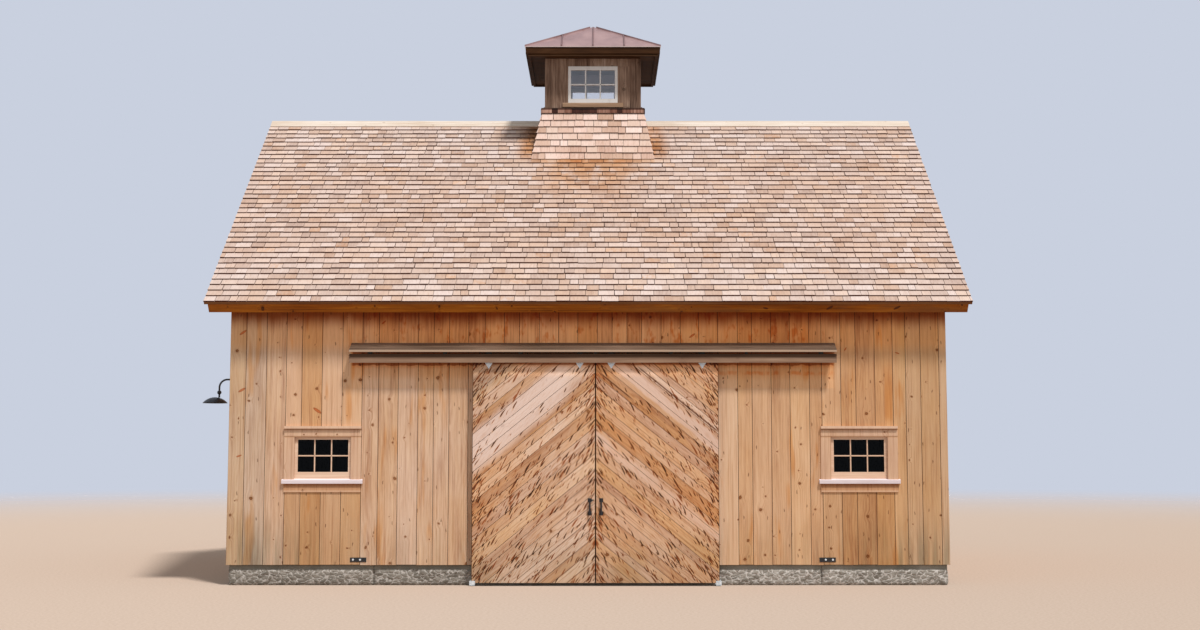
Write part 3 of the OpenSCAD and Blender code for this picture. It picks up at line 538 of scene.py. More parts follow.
def siding_stains_and_shade(colour, place):
    """Stains of the walls by height, by the windows and corners and at the foot, and painted light and shade
    under the eaves, the rakes and the hood
    """
    x, y, z = place.split()
    front = y.below(FACE_DEPTH - HALF_D)
    right = x.span(1.4, 1.8) * front
    streaky = place.noise((9, 9, 1.1), move=(3, 1, 2))
    rain = place.noise((11, 11, 0.6), 3.0)
    patch = place.noise((6.5, 6.5, 0.9), 2.0, 0.6, move=(9, 2, 4))
    rusty = place.noise((7, 7, 3), 3.0, 0.65, move=(2, 5, 8))
    colour = spike_knots(colour, place, front, WALL_KNOTS, rgb(196, 108, 60)).tints(
        (right, (0.91, 0.79, 0.63)),
        (x.span(3.85, 4.1) * front, (0.84, 0.84, 0.82)),
        (1.0 - front, (0.93, 0.84, 0.73)),
        (x.span(-4.0, -4.2) * front, (0.86, 0.88, 0.87)),
    )
    for window_x, half, under, over in WINDOW_PANELS:
        panel = x.near(window_x, half, 0.003) * front
        colour = colour.tints((panel * z.span(1.35, 1.25), under), (panel * z.span(1.9, 2.0), over))
    resin = x.near(RESIN_X, 0.035, 0.03) * z.span(2.0, 2.15) * z.span(3.0, 2.4) * front

    # Under the eaves and the rakes: warmer wood, partly sheltered wood and partly painted warm bounce light,
    # and painted shade right under them
    under_eave = abs(y).above(HALF_D - FACE_DEPTH)
    high = z.span(2.86, 3.1) * under_eave
    over_hood = x.near(HOOD_X, 2.6, 0.7) * (high * front)
    top = (streaky - 0.5) * 0.16 + z
    rake_z = roof_z(0, SOFFIT_DEPTH)
    rake_level = (streaky - 0.5) * 0.2 + (abs(y) * PITCH + z)
    colour = colour.tints(
        (patch.span(0.6, 0.72), (0.92, 0.7, 0.45), 0.8),
        (resin, (0.88, 0.58, 0.24), 0.6),
        # Warmer towards the top, darker and more orange over the hood and lighter at its right end: partly
        # fresher sheltered wood, partly painted warm bounce light in the eave's shadow
        (high, (1.16, 0.98, 0.76)),
        (over_hood, (1.04, 0.81, 0.59)),
        (x.span(2.9, 3.3) * (high * front), (1.12, 1.14, 1.18)),
        (over_hood * rusty.span(0.54, 0.66), (0.82, 0.52, 0.3)),
        # Painted shade right under the eaves, orange like the sheltered wood there
        (top.span(3.2, 3.44) * under_eave, (0.38, 0.18, 0.08)),
        # Painted shade under the rakes, browner too
        (rake_level.span(rake_z - 0.35, rake_z) * (1.0 - under_eave), (0.78, 0.56, 0.38)),
    )

    # Under the hood, with painted light and shade, and at the foot of the wall
    hood = x.near(HOOD_X, HOOD_HALF, 0.04) * front * z.below(HOOD_UNDER_Z)
    low = (streaky - 0.5) * 0.06 + z
    wave = (rain - 0.5) * 0.05 + z
    drip = wave.near(2.68, 0.008, 0.03) * (hood * right) * rusty.span(0.4, 0.58)
    foot = z.span(1.05, 0.3) * rain.span(0.38, 0.62, 0.25, 1.0)
    return colour.tints(
        # Painted light: lighter where the hood's shadow falls on the wall
        (hood * z.span(2.47, 2.5), (1.14, 1.08, 1.0)),
        # Warmer higher up, partly sheltered wood and partly painted warm bounce light; darker orange just
        # under the valance, partly stain and partly painted shade
        (hood * z.span(2.56, 2.68), (0.98, 0.87, 0.74)),
        (hood * low.span(2.72, 2.79), (0.98, 0.77, 0.58)),
        # Painted shade: a dark line right under the valance
        (hood * low.span(2.77, 2.785), (0.5, 0.34, 0.26)),
        (drip, (0.92, 0.58, 0.34), 0.8),
        (foot * abs(x).span(3.1, 3.9, 0.35, 1.0), (0.6, 0.66, 0.66)),
    )


SIDING_PALE = palette((180, 138, 112), (222, 190, 166), (236, 208, 188), (246, 226, 212))
SIDING_GOLD = palette((164, 108, 66), (212, 168, 126), (228, 190, 148), (240, 210, 176))
siding = wood(
    "siding_boards", SIDING_PALE, SIDING_GOLD, extra=siding_stains_and_shade, relief=0.0015, contrast=1.05, dashes=0.7,
    lines=0.4, gold_spread=0.85,
)


# Diagonal boards of the doors
DOOR_LEAN = math.radians(39)
HAIR_LEAN = math.radians(56)
PLANK_W = (0.085, 0.15)
PLANK_GAP = 0.0045
PLANK_T = 0.004
LEAF_MARGIN = 0.004
# Layers of flecks: lean in degrees, shift, scale along and across, share of the dense places that they fill
FLECKS = (
    (60, 3.1, 4.2, 24.0, 0.58), (54, 8.7, 5.0, 29.0, 0.58),
    (66, 14.2, 6.4, 36.0, 0.58), (58, 21.4, 13.0, 44.0, 0.4),
)
# Cracks on the right leaf: height at the middle, half width, first and last run
CRACKS = ((3.19, 0.007, 0.5, 1.6), (2.72, 0.005, 0.0, 0.5))


def flecks(colour, flat, dense):
    """Tapered, hooked dark flecks where dense is high"""
    for lean, shift, long, wide, share in FLECKS:
        turned = flat.scaled((1, 1, 1), (shift, shift / 3, 0), (0, 0, math.radians(lean - 90)))
        turned = turned.scaled((wide, long, 1.0))
        pick = turned.cells(1.0, "Color").split()
        offset = turned.vector("SUBTRACT", turned.cells(1.0, "Position"))
        sideways, lengthways, _ = offset.split()
        size = pick[1].span(0.0, 1.0, 0.17, 0.36, False)
        reach = lengthways / size
        taper = reach.span(-1.0, 1.0, 1.0, 0.35, False)
        hook = (reach * reach * 0.3 + sideways / size) / taper
        closeness = (reach * reach + hook * hook).math("SQRT")
        chosen = pick[0].below(dense * share)
        colour = colour.tint(closeness.span(1.9, 1.0) * chosen, (0.94, 0.76, 0.54), 0.6)
        ink = (pick[2] ** 1.8).mix(rgb(56, 28, 15), rgb(154, 80, 40))
        colour = colour.to(closeness.span(1.12, 0.86) * chosen * 0.93, ink)
    return colour


def door_marks_and_shade(colour, place):
    """Slanted dark flecks, thick along the edges of a leaf and on some boards; pale and grey boards; painted
    light and shade below the hood
    """
    x, _, z = place.split()
    from_middle = x - DOOR_MIDDLE
    run = abs(from_middle)
    left = from_middle.below(0.0)
    right = 1.0 - left
    rung = run * math.tan(DOOR_LEAN) + z
    warp = place.noise((2.1, 2.1, 2.1), 2.0, 0.6)
    bent_rung = (warp - 0.5) * 0.16 + rung
    pale_left = bent_rung.near(2.9, 0.2, 0.16) * left * run.span(0.15, 0.5)
    pale_right = bent_rung.near(3.0, 0.07, 0.05) * right
    pale_low = bent_rung.near(1.88, 0.04, 0.05) * right
    pale = pale_left.math("MAXIMUM", pale_right.math("MAXIMUM", pale_low))
    warm = bent_rung.near(2.25, 0.25, 0.3) * warp.span(0.4, 0.6, 0.4, 1.0)
    colour = colour.to(pale * 0.7, rgb(236, 206, 190)).tints(
        (left, (1.03, 1.1, 1.17)),
        (z.near(1.6, 0.4, 0.4) * right, (0.95, 0.93, 0.91)),
        (warm, (1.0, 0.88, 0.72), 0.8),
        (bent_rung.span(3.5, 3.62) * left, (0.72, 0.74, 0.76)),
    )

    # Flecks, in belts along the boards, along the leaf's edges and near its foot
    face = place.shader.join(run, z, 0.0)
    along = face.scaled((1, 1, 1), (0, 0, 0), (0, 0, DOOR_LEAN - math.pi))
    belts = along.noise((0.55, 4.2, 1.0), 2.0, 0.6, move=(2.6, 5.3, 0))
    edges = run.span(0.2, 0.03).math("MAXIMUM", run.span(1.28, 1.45))
    dense = edges * 0.6 + belts.span(0.38, 0.66, 0.08, 0.5)
    dense = dense * pale.span(0.0, 1.0, 1.0, 0.25) + z.span(1.4, 0.9, 0.0, 0.12)
    wobble = place.noise((11, 11, 11), 1.0, output="Color")
    flat = face.vector("ADD", wobble.vector("MULTIPLY", (0.006, 0.006, 0.0)))
    slanted = flat.scaled((1, 1, 1), (0, 0, 0), (0, 0, HAIR_LEAN - math.pi / 2))
    hair = slanted.noise((75, 6, 1), 2.0, 0.6)
    hair = hair.span(0.5, 0.64) * dense.span(0.0, 0.6, 0.35, 1.0)
    colour = colour.tint(hair, (0.78, 0.6, 0.44), 0.8)
    colour = flecks(colour, flat, dense)
    for level, half, first, last in CRACKS:
        crack = rung.near(level, half, 0.012) * right
        crack = crack * run.span(first, first + 0.1) * run.span(last, last - 0.1)
        colour = colour.tint(crack, (0.22, 0.14, 0.1), 0.9)

    # Damp foot, a darker lower part, and painted light and shade below the hood
    foot = z.span(0.85, 0.15) * warp.span(0.35, 0.65, 0.5, 1.0)
    low = (warp - 0.5) * 0.05 + z
    return colour.tints(
        (foot, (0.72, 0.74, 0.7)),
        (z.span(1.7, 1.2), (0.95, 0.91, 0.86)),
        # Painted light: lighter where the hood's shadow falls on the leaves
        (z.span(2.6, 2.68), (1.22, 1.16, 1.08)),
        # Darker orange under the valance, partly stain and partly painted shade
        (low.span(2.72, 2.79), (0.9, 0.72, 0.56)),
        # Painted shade: a dark line right under the valance
        (low.span(2.765, 2.785), (0.5, 0.34, 0.26)),
    )


door_wood = wood(
    "door_diagonal_boards", palette((186, 142, 116), (222, 186, 162), (234, 202, 180), (244, 218, 200)),
    palette((158, 98, 54), (206, 154, 108), (222, 174, 128), (234, 196, 154)), tone_range=0.4,
    gold_share=0.42, gold_spread=0.95, knots=0.9, contrast=0.95, extra=door_marks_and_shade, lines=0.5,
)


def door_boards(side, lean, seed):
    body = side + "_door"
    low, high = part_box(body + "_boards")
    made = Mesh(seed)
    plane = (Vector((0, low.y, 0)), X, Z, -Y)
    along = (math.cos(DOOR_LEAN) * lean, math.sin(DOOR_LEAN))
    across = (-along[1] * lean, along[0] * lean)
    leaf = rectangle(low.x + LEAF_MARGIN, low.z, high.x - LEAF_MARGIN, high.z)
    reach = [p[0] * across[0] + p[1] * across[1] for p in leaf]
    spot = min(reach) - made.random.uniform(0, 0.1)
    while spot < max(reach):
        width = made.random.uniform(*PLANK_W)
        piece = clip(leaf, across[0], across[1], spot + width - PLANK_GAP)
        if piece:
            piece = clip(piece, -across[0], -across[1], -spot)
        if piece:
            made.slab(plane, piece, PLANK_T + made.random.uniform(-0.0008, 0.001), 0.0008, along=along)
        spot += width
    made.make(body + "_planks", door_wood, body)


# Vertical boards on the walls
FRONT_JOINTS = (
    -4.577, -4.372, -4.112, -3.857, -3.655, -3.398, -3.139, -2.885, -2.675, -2.425, -2.172, -1.972, -1.775,
    -1.530, -1.320, -1.075, -0.880, -0.628, -0.381, -0.134, 0.115, 0.305, 0.495, 0.683, 0.932, 1.178, 1.414,
    1.657, 1.907, 2.090, 2.334, 2.574, 2.822, 2.979, 3.222, 3.414, 3.658, 3.888, 4.053, 4.243, 4.480, 4.577,
)
GAP = 0.006
SIDING_T = 0.005
BOARD_STEP = (0.17, 0.26)
LEAST_BOARD_W = 0.08
LAST_BOARD_W = 0.3
SMALLEST_PART = 0.012
# No board lies behind a casing: half width, foot and head
WINDOW_HOLE = (0.4, 1.25, 1.9)


def window_holes(mirror):
    half, foot, head = WINDOW_HOLE
    return [(mirror * x - half, foot, mirror * x + half, head) for x in WINDOW_XS]


def strip_parts(x0, x1, z0, z1, holes):
    """A strip of board less the holes, as rectangles"""
    parts = [(x0, z0, x1, z1)]
    for hx0, hz0, hx1, hz1 in holes:
        cut = []
        for a0, b0, a1, b1 in parts:
            if hx1 <= a0 or hx0 >= a1 or hz1 <= b0 or hz0 >= b1:
                cut.append((a0, b0, a1, b1))
                continue
            low, high = max(b0, hz0), min(b1, hz1)
            cut += [(a0, b0, a1, hz0), (a0, hz1, a1, b1), (a0, low, hx0, high), (hx1, low, a1, high)]
        parts = [p for p in cut if p[0] < p[2] and p[1] < p[3]]
    return [p for p in parts if min(p[2] - p[0], p[3] - p[1]) > SMALLEST_PART]


def random_joints(maker, low, high, middle=None):
    """Joints between boards of random widths, one of them at middle if it is given"""
    joints = [low]
    while joints[-1] < high - LAST_BOARD_W:
        step = maker.uniform(*BOARD_STEP)
        if middle is not None and joints[-1] < middle < joints[-1] + step + LEAST_BOARD_W:
            joints.append(middle)
        else:
            joints.append(joints[-1] + step)
    joints.append(high)
    return joints


def board_wall(name, plane, joints, top, holes, seed):
    made = Mesh(seed)
    for x0, x1 in zip(joints, joints[1:]):
        tone = made.random.random()
        out = SIDING_T + made.random.uniform(-0.0012, 0.0015)
        foot = BASE_Z - made.random.uniform(0.001, 0.007)
        highest = max(top(x0), top(x1), top((x0 + x1) / 2))
        for a0, b0, a1, b1 in strip_parts(x0 + GAP / 2, x1 - GAP / 2, foot, highest, holes):
            outline = rectangle(a0, b0, a1, b1)
            if b1 >= highest - 1e-6:
                outline = [(a0, b0), (a1, b0), (a1, top(a1)), (a0, top(a0))]
            made.slab(plane, outline, out, 0.0015, tone)
    made.make(name, siding)


def gable_top(run):
    return roof_z(abs(run), SOFFIT_DEPTH) - 0.002


def eave_top(run):
    return gable_top(HALF_D)


door_hole = (DOOR_LEFT, 0, DOOR_RIGHT, DOOR_TOP)
board_wall("front_siding", upright(X, HALF_D), FRONT_JOINTS, eave_top, window_holes(1) + [door_hole], 11)
joint_random = random.Random(12)
back_joints = random_joints(joint_random, -HALF_W - 0.005, HALF_W + 0.005)
board_wall("back_siding", upright(-X, HALF_D), back_joints, eave_top, window_holes(-1), 13)
for name, right, seed in (("left_gable_siding", -Y, 14), ("right_gable_siding", Y, 15)):
    gable_joints = random_joints(joint_random, -HALF_D, HALF_D, 0.0)
    board_wall(name, upright(right, HALF_W), gable_joints, gable_top, [], seed)


# Shingles
COURSES = 38
SKIRT_COURSES = 7
LAP = 0.012
SKIRT_LAP = 0.01
PAST_EDGE = 0.004
SHINGLE_W = (0.09, 0.25)
SHINGLE_T = (0.015, 0.021)
SHINGLE_GAP = (0.003, 0.008)
HEAD_T = 0.0012
WAVER = 0.004


def course(mesh, plane, s0, s1, left, right, cuts):
    """One row of tapered shingles, cut by half planes (a, b, c); each cut list gives its own set of pieces"""
    maker = mesh.random
    x = left
    while x < right:
        width = maker.uniform(*SHINGLE_W)
        butt = s1 + maker.uniform(-WAVER, WAVER)
        rise = maker.uniform(*SHINGLE_T)
        skew = maker.uniform(-WAVER, WAVER)
        gap = maker.uniform(*SHINGLE_GAP)
        outline = [(x, s0), (x + width - gap, s0), (x + width - gap + skew, butt), (x + skew, butt)]
        tone = maker.random()

        def depth(a, b, rise=rise):
            return HEAD_T + rise * max(0.0, b - s0) / (s1 - s0)

        for half_planes in cuts:
            piece = outline
            for a, b, c in half_planes:
                piece = clip(piece, a, b, c) if piece else piece
            if piece:
                mesh.slab(plane, piece, depth, 0.0, tone, end_mark=1.0)
        x += width


def skirt_reach(s):
    """Half width of the cupola's skirt where the roof is s down its slope"""
    return SKIRT_HALF + SKIRT_FLARE * (SKIRT_TOP - RIDGE_Z + s * math.sin(SLOPE))


SKIRT_FOOT_Z = (RIDGE_Z - PITCH * (SKIRT_HALF + SKIRT_FLARE * SKIRT_TOP)) / (1 - PITCH * SKIRT_FLARE)
SKIRT_FOOT_S = (RIDGE_Z - SKIRT_FOOT_Z) / math.sin(SLOPE)


def shingled_roof(name, side, seed):
    made = Mesh(seed)
    down = Vector((0, side * math.cos(SLOPE), -math.sin(SLOPE)))
    out = Vector((0, side * math.sin(SLOPE), math.cos(SLOPE)))
    plane = (Vector((0, 0, RIDGE_Z)), X, down, out)
    exposure = SLOPE_TIP / COURSES
    lean = SKIRT_FLARE * math.sin(SLOPE)
    reach = skirt_reach(0.0) - LAP
    edges = [(1, 0, RAKE_X + PAST_EDGE), (-1, 0, RAKE_X + PAST_EDGE), (0, -1, -RIDGE_BOARD_W)]
    round_skirt = [
        edges + [(1, lean, CUPOLA_X - reach)],
        edges + [(-1, lean, -CUPOLA_X - reach)],
        edges + [(0, -1, LAP - SKIRT_FOOT_S), (-1, -lean, reach - CUPOLA_X), (1, -lean, reach + CUPOLA_X)],
    ]
    for i in range(COURSES):
        s0 = i * exposure - LAP
        cuts = round_skirt if s0 < SKIRT_FOOT_S else [edges]
        course(made, plane, s0, (i + 1) * exposure, -RAKE_X - made.random.uniform(0, 0.1), RAKE_X, cuts)
    made.make(name, shingle_wood)


def roof_stains(colour, place):
    """Orange beside and below the cupola's skirt, grey at its upper left, and single orange shingles"""
    x, y, z = place.split()
    x = x - CUPOLA_X
    foot = SKIRT_FOOT_Z
    soft = place.noise((5.5, 5.5, 1.6), 3.0, 0.6)
    past = abs(x) - (z * -SKIRT_FLARE + (SKIRT_HALF + SKIRT_FLARE * SKIRT_TOP))
    beside = past.span(0.36, 0.1) * z.span(foot - 0.1, foot + 0.15) * soft.span(0.3, 0.52, 0.4, 1.0)
    upper_left = x.below(0.0) * z.span(6.28, 6.42) * past.span(0.5, 0.15) * y.below(0.0)
    below = z.span(foot - 0.95, foot - 0.1) * x.near(-0.05, 0.3, 0.7) * z.span(foot + 0.05, foot - 0.02)
    first = z.near(foot - 0.035, 0.035, 0.012) * past.span(0.02, -0.02)
    single = (place.shader.attribute("tone") * 91.7).math("FRACT").above(0.965)
    spot = place.noise((16, 16, 16))
    cloud = place.noise((0.8, 0.8, 0.8), 3.0, 0.6, move=(4, 4, 1))
    return colour.tints(
        (beside, (0.74, 0.46, 0.23), 0.95),
        (upper_left * soft.span(0.35, 0.55, 0.3, 1.0), (0.46, 0.4, 0.35), 0.85),
        (below * soft.span(0.28, 0.55), (0.87, 0.63, 0.4), 0.95),
        (first, (0.9, 0.72, 0.52), 0.7),
        (single * spot.span(0.35, 0.6), (0.96, 0.74, 0.52), 0.5),
        (cloud.span(0.5, 0.72), (0.93, 0.88, 0.84), 0.9),
        (z.near(5.0, 0.4, 0.8), (0.97, 0.93, 0.9)),
    )


# The shingles' marked colour, on their butts, is dark end grain darkened further as painted shade of the
# butts
SHINGLE_PALE = palette((160, 134, 122), (198, 176, 165), (212, 193, 185), (226, 212, 208))
SHINGLE_GOLD = palette((158, 118, 90), (196, 162, 138), (210, 180, 158), (224, 200, 182))
shingle_wood = wood(
    "cedar_shingles", SHINGLE_PALE, SHINGLE_GOLD, end_grain_and_shade=rgb(84, 44, 28), knots=0.0, tone_range=0.36,
    contrast=0.55, relief=0.001, extra=roof_stains, gold_share=0.22, gold_spread=0.75, lines=0.25,
)
SKIRT_PALE = palette((188, 150, 130), (226, 194, 178), (240, 212, 200), (250, 232, 224))
skirt_wood = wood(
    "cedar_skirt_shingles", SKIRT_PALE, SHINGLE_GOLD, end_grain_and_shade=rgb(84, 46, 28), knots=0.0, tone_range=0.5,
    contrast=0.7, relief=0.001, gold_share=0.15, gold_spread=0.9, lines=0.25,
)
shingled_roof("front_shingles", -1, 21)
shingled_roof("back_shingles", 1, 22)


def shingled_skirt():
    made = Mesh(23)
    slant = math.sqrt(1 + SKIRT_FLARE ** 2)
    length = (SKIRT_TOP - SKIRT_FOOT_Z) * slant
    exposure = length / SKIRT_COURSES
    lean = SKIRT_FLARE / slant
    fall = 1 / (slant * PITCH)
    head = (RIDGE_Z - SKIRT_TOP) / PITCH
    edges = [(1, -lean, SKIRT_HALF + 0.006), (-1, -lean, SKIRT_HALF + 0.006), (0, -1, -0.001)]
    for right in SIDES:
        outwards = right.cross(Z)
        origin = Vector((CUPOLA_X, 0, SKIRT_TOP)) + outwards * SKIRT_HALF
        plane = (origin, right, (outwards * SKIRT_FLARE - Z) / slant, (outwards + Z * SKIRT_FLARE) / slant)
        if abs(right.y) > 0.5:
            cuts = [edges + [(-1, fall, -head)], edges + [(1, fall, -head)]]
            rows = SKIRT_COURSES + 1
        else:
            cuts = [edges + [(0, 1, length + PAST_EDGE)]]
            rows = SKIRT_COURSES
        for i in range(rows):
            start = -1.0 - made.random.random() / 9
            course(made, plane, i * exposure - SKIRT_LAP, (i + 1) * exposure, start, 1.0, cuts)
    made.make("cupola_skirt_shingles", skirt_wood)


shingled_skirt()
door_boards("left", 1, 31)
door_boards("right", -1, 32)


# Window bars
GLASS_T = 0.006
PANE_HALF = 0.321
CUPOLA_PANE_HALF = 0.3255
SASH = palette((198, 156, 130), (226, 188, 160), (236, 204, 178), (244, 220, 200))
sash_wood = wood("pale_sash_wood", SASH, axis="x", knots=0.0)


def white_material():
    shader, place = surface("white_paint")
    grime = place.noise((14, 14, 3), 4.0, 0.65)
    colour = grime.span(0.48, 0.75, 0.0, 0.35).mix(rgb(226, 224, 222), rgb(176, 164, 152))
    return shader.finish(colour, 0.5, grime.bump(0.0006, 0.4))


def pane_bars(mesh, plane, middle, half, glass, out, width=0.016):
    """Two upright bars and a level one, in front of a pane on this plane and again behind it"""
    origin, right, up, outwards = plane
    z0, z1 = glass[0].z, glass[1].z
    z = (z0 + z1) / 2
    for turn, back in ((1, 0.0), (-1, GLASS_T)):
        face = (origin - outwards * back, right * turn, up, outwards * turn)
        x0 = middle * turn - half
        for column in (1, 2):
            x = x0 + 2 * half * column / 3
            mesh.slab(face, rectangle(x - width / 2, z0, x + width / 2, z1), out, 0.003)
        level = rectangle(x0, z - width / 2, x0 + 2 * half, z + width / 2)
        mesh.slab(face, level, out, 0.003, along=(1, 0))


bars = Mesh(41)
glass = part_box("window_glass")
for x in WINDOW_XS:
    for right in (X, -X):
        pane_bars(bars, upright(right, glass[1].y), x * right.x, PANE_HALF, glass, 0.011)
bars.make("window_bars", sash_wood)

white_paint = white_material()
bars = Mesh(42)
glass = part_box("cupola_glass")
for right in SIDES:
    pane_bars(bars, upright(right, glass[1].y, CUPOLA_X), 0.0, CUPOLA_PANE_HALF, glass, 0.013, 0.02)
bars.make("cupola_window_bars", white_paint)


# Boards and band blocks of the cupola
CUPOLA_OPENING = 0.3655
CUPOLA_BOARD_STEP = (0.15, 0.21)
LAST_CUPOLA_BOARD_W = 0.26
BLOCK_W = (0.07, 0.16)
BLOCK_T = (0.004, 0.009)
CUPOLA = palette((68, 48, 36), (122, 96, 80), (158, 132, 114), (204, 182, 164))
cupola_wood = wood("cupola_weathered_boards", CUPOLA, knots=0.5, contrast=1.3, relief=0.002)


def cupola_boards():
    made = Mesh(51)
    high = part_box("cupola_cornice")[0].z + 0.02
    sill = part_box("cupola_sills")[0].z + 0.01
    window = (-CUPOLA_OPENING, sill, CUPOLA_OPENING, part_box("cupola_window_frames")[1].z)
    for right in SIDES:
        end = CUPOLA_HALF + (0.003 if abs(right.x) > 0.5 else 0.0)
        joints = [-end]
        while joints[-1] < end - LAST_CUPOLA_BOARD_W:
            joints.append(joints[-1] + made.random.uniform(*CUPOLA_BOARD_STEP))
        joints.append(end)
        for x0, x1 in zip(joints, joints[1:]):
            tone = made.random.random()
            for part in strip_parts(x0 + 0.001, x1 - 0.002, BAND_HI.z, high, [window]):
                made.slab(upright(right, CUPOLA_HALF, CUPOLA_X), rectangle(*part), 0.003, 0.001, tone)
    made.make("cupola_boards", cupola_wood)


cupola_boards()


def band_top(colour, place):
    """Darker upper edge of the band"""
    z = place.split()[2]
    return colour.tint(z.span(BAND_HI.z - 0.034, BAND_HI.z - 0.024), (0.22, 0.18, 0.16))


BAND = palette((62, 34, 26), (96, 58, 46), (126, 84, 68), (196, 156, 138))
band_wood = wood("band_blocks", BAND, knots=0.0, tone_range=0.8, extra=band_top)


def band_blocks():
    made = Mesh(52)
    low, high = BAND_LO.z + 0.008, BAND_HI.z - 0.006
    half = BAND_HI.y
    for right in SIDES:
        x = -half
        while x < half - 0.02:
            width = min(made.random.uniform(*BLOCK_W), half - x)
            outline = rectangle(x + 0.001, low, x + width - 0.003, high - made.random.uniform(0, 0.004))
            made.slab(upright(right, half, CUPOLA_X), outline, made.random.uniform(*BLOCK_T), 0.0015)
            x += width
    made.make("cupola_band_blocks", band_wood)


band_blocks()


# Rough split stones of the base
STONE_STEP = 0.02
SAWN_BAND = 0.062
SWELL = 0.03
SEAM = 0.0015
FRONT_CUTS = (-2.71, 2.95)
BACK_CUTS = (-STONE_X, -2.55, -0.7, 1.1, 2.9, STONE_X)
END_CUTS = (STONE_T - STONE_Y, -1.35, 0.4, 1.9, STONE_Y - STONE_T)
# The stone stays flat where the doors' floor guides stand on it
GUIDE_XS = (DOOR_MIDDLE - 1.548, DOOR_MIDDLE + 1.548)
GUIDE_ROOM = 0.1
GUIDE_TOP = 0.12


def rock_face(spot, swell):
    """Outward level of a split face, from -1 to 1, with sharp ridges"""
    ridge = 1 - 2.2 * abs(noise.noise(spot * 11))
    sharp = 1 - 2.4 * abs(noise.noise(spot * 27))
    rough = 0.45 * ridge + 0.3 * sharp + 0.3 * noise.noise(spot * 4)
    return (0.2 + 0.8 * rough) * math.sqrt(swell) - 0.25 * (1 - swell)


def rough_block(mesh, low, high, shown, seed):
    """A box of stone whose faces in shown, each an axis and a side, are split"""
    counts = [max(2, round((high[i] - low[i]) / STONE_STEP)) for i in range(3)]
    index = {}
    points = []

    def corner(key):
        if key in index:
            return index[key]
        index[key] = len(points)
        at = [low[n] + (high[n] - low[n]) * key[n] / counts[n] for n in range(3)]
        push = Vector((0, 0, 0))
        for axis, side in shown:
            if key[axis] != (counts[axis] if side > 0 else 0):
                continue
            edge = min(
                min(key[n], counts[n] - key[n]) / counts[n] * (high[n] - low[n])
                for n in range(3) if n != axis
            )
            level = rock_face(Vector((at[0], at[1], at[2] + seed)), min(1.0, edge / 0.03))
            sawn = min(1.0, max(0.0, (at[2] - high[2] + SAWN_BAND) / 0.02 + 1))
            level = level * (1 - sawn) - 0.05 * sawn
            if at[2] < GUIDE_TOP and any(abs(at[0] - x) < GUIDE_ROOM for x in GUIDE_XS):
                level = min(level, 0.0)
            push[axis] += side * max(-0.8, min(1.0, level)) * SWELL
        points.append(tuple(at[n] + push[n] for n in range(3)))
        return index[key]

    faces = []
    for axis in range(3):
        u, v = [n for n in range(3) if n != axis]
        for side, a, b in itertools.product((0, 1), range(counts[u]), range(counts[v])):
            quad = []
            for da, db in ((0, 0), (1, 0), (1, 1), (0, 1)):
                key = [0, 0, 0]
                key[axis] = counts[axis] * side
                key[u] = a + da
                key[v] = b + db
                quad.append(corner(tuple(key)))
            turned = (side == 1) == (axis != 1)
            faces.append(quad if turned else quad[::-1])
    mesh.shape(points, faces, mesh.random.random())


def stone_base(name, node, runs, seed):
    made = Mesh(seed)
    for low, high, shown in runs:
        rough_block(made, low + (0,), high + (BASE_Z,), shown, made.random.uniform(0, 50))
    piece = made.make(name, granite, smooth=True)
    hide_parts(node)


def long_runs(spans, y0, y1, side):
    """Blocks of the front or the back, with the outer ends of the first and last shown too"""
    last = len(spans) - 1
    return [
        ((x0, y0), (x1, y1), [(1, side)] + [(0, -1)] * (i == 0) + [(0, 1)] * (i == last))
        for i, (x0, x1) in enumerate(spans)
    ]


def between(cuts):
    """Spans between cuts, less half a seam at either end"""
    return [(low + SEAM, high - SEAM) for low, high in zip(cuts, cuts[1:])]


def granite_material():
    """Split grey stone with pale chisel strokes, partly the stone's colour and partly painted highlights of
    the relief, sawn smooth along its top, which painted shade of the siding darkens
    """
    shader, place = surface("split_granite")
    x, _, z = place.split()
    split_face = z.span(BASE_Z - SAWN_BAND + 0.012, BASE_Z - SAWN_BAND - 0.012)
    large = place.noise(3.2, 4.0, 0.6)
    grit = place.noise(190.0, 2.0, 0.7)
    bend = place.noise(13.0, output="Color").vector("MULTIPLY", (0.07, 0.07, 0.07))
    facets = place.vector("ADD", bend).scaled((12, 12, 22), (0, 0, 0), (0, 0.5, 0))
    stroke = facets.cells(1.0, "Distance", "DISTANCE_TO_EDGE", "3D")
    deep = facets.cells(1.0, "Color", dimensions="3D").split()[0].span(0.75, 0.15) * split_face
    broken = place.noise(24.0, 2.0, 0.6)
    pale = stroke.span(0.14, 0.04) * broken.span(0.4, 0.56)
    greys = palette((112, 106, 98), (136, 130, 121), (154, 147, 138), (174, 168, 160))
    colour = (grit * 0.35 + large * 0.7).ramp((0.25, 0.45, 0.62, 0.8), greys)
    colour = colour.tint(deep, (0.6, 0.58, 0.55), 0.7)
    # Pale strokes: partly the stone's colour, partly painted highlights of the relief
    colour = colour.to(pale * (split_face * 0.6), rgb(216, 210, 204))
    colour = colour.tints(
        # Painted shade: the sawn top is darker, where the siding's shadow falls, and a little greener
        (1.0 - split_face, (0.8, 0.82, 0.78)),
        (x.span(0.5, 1.5), (1.22, 1.24, 1.26)),
    )
    height = place.noise(42.0, 5.0, 0.7) + grit * 0.3 + stroke.span(0.0, 0.3) * split_face
    return shader.finish(colour, 0.88, height.bump(0.008, 0.7))


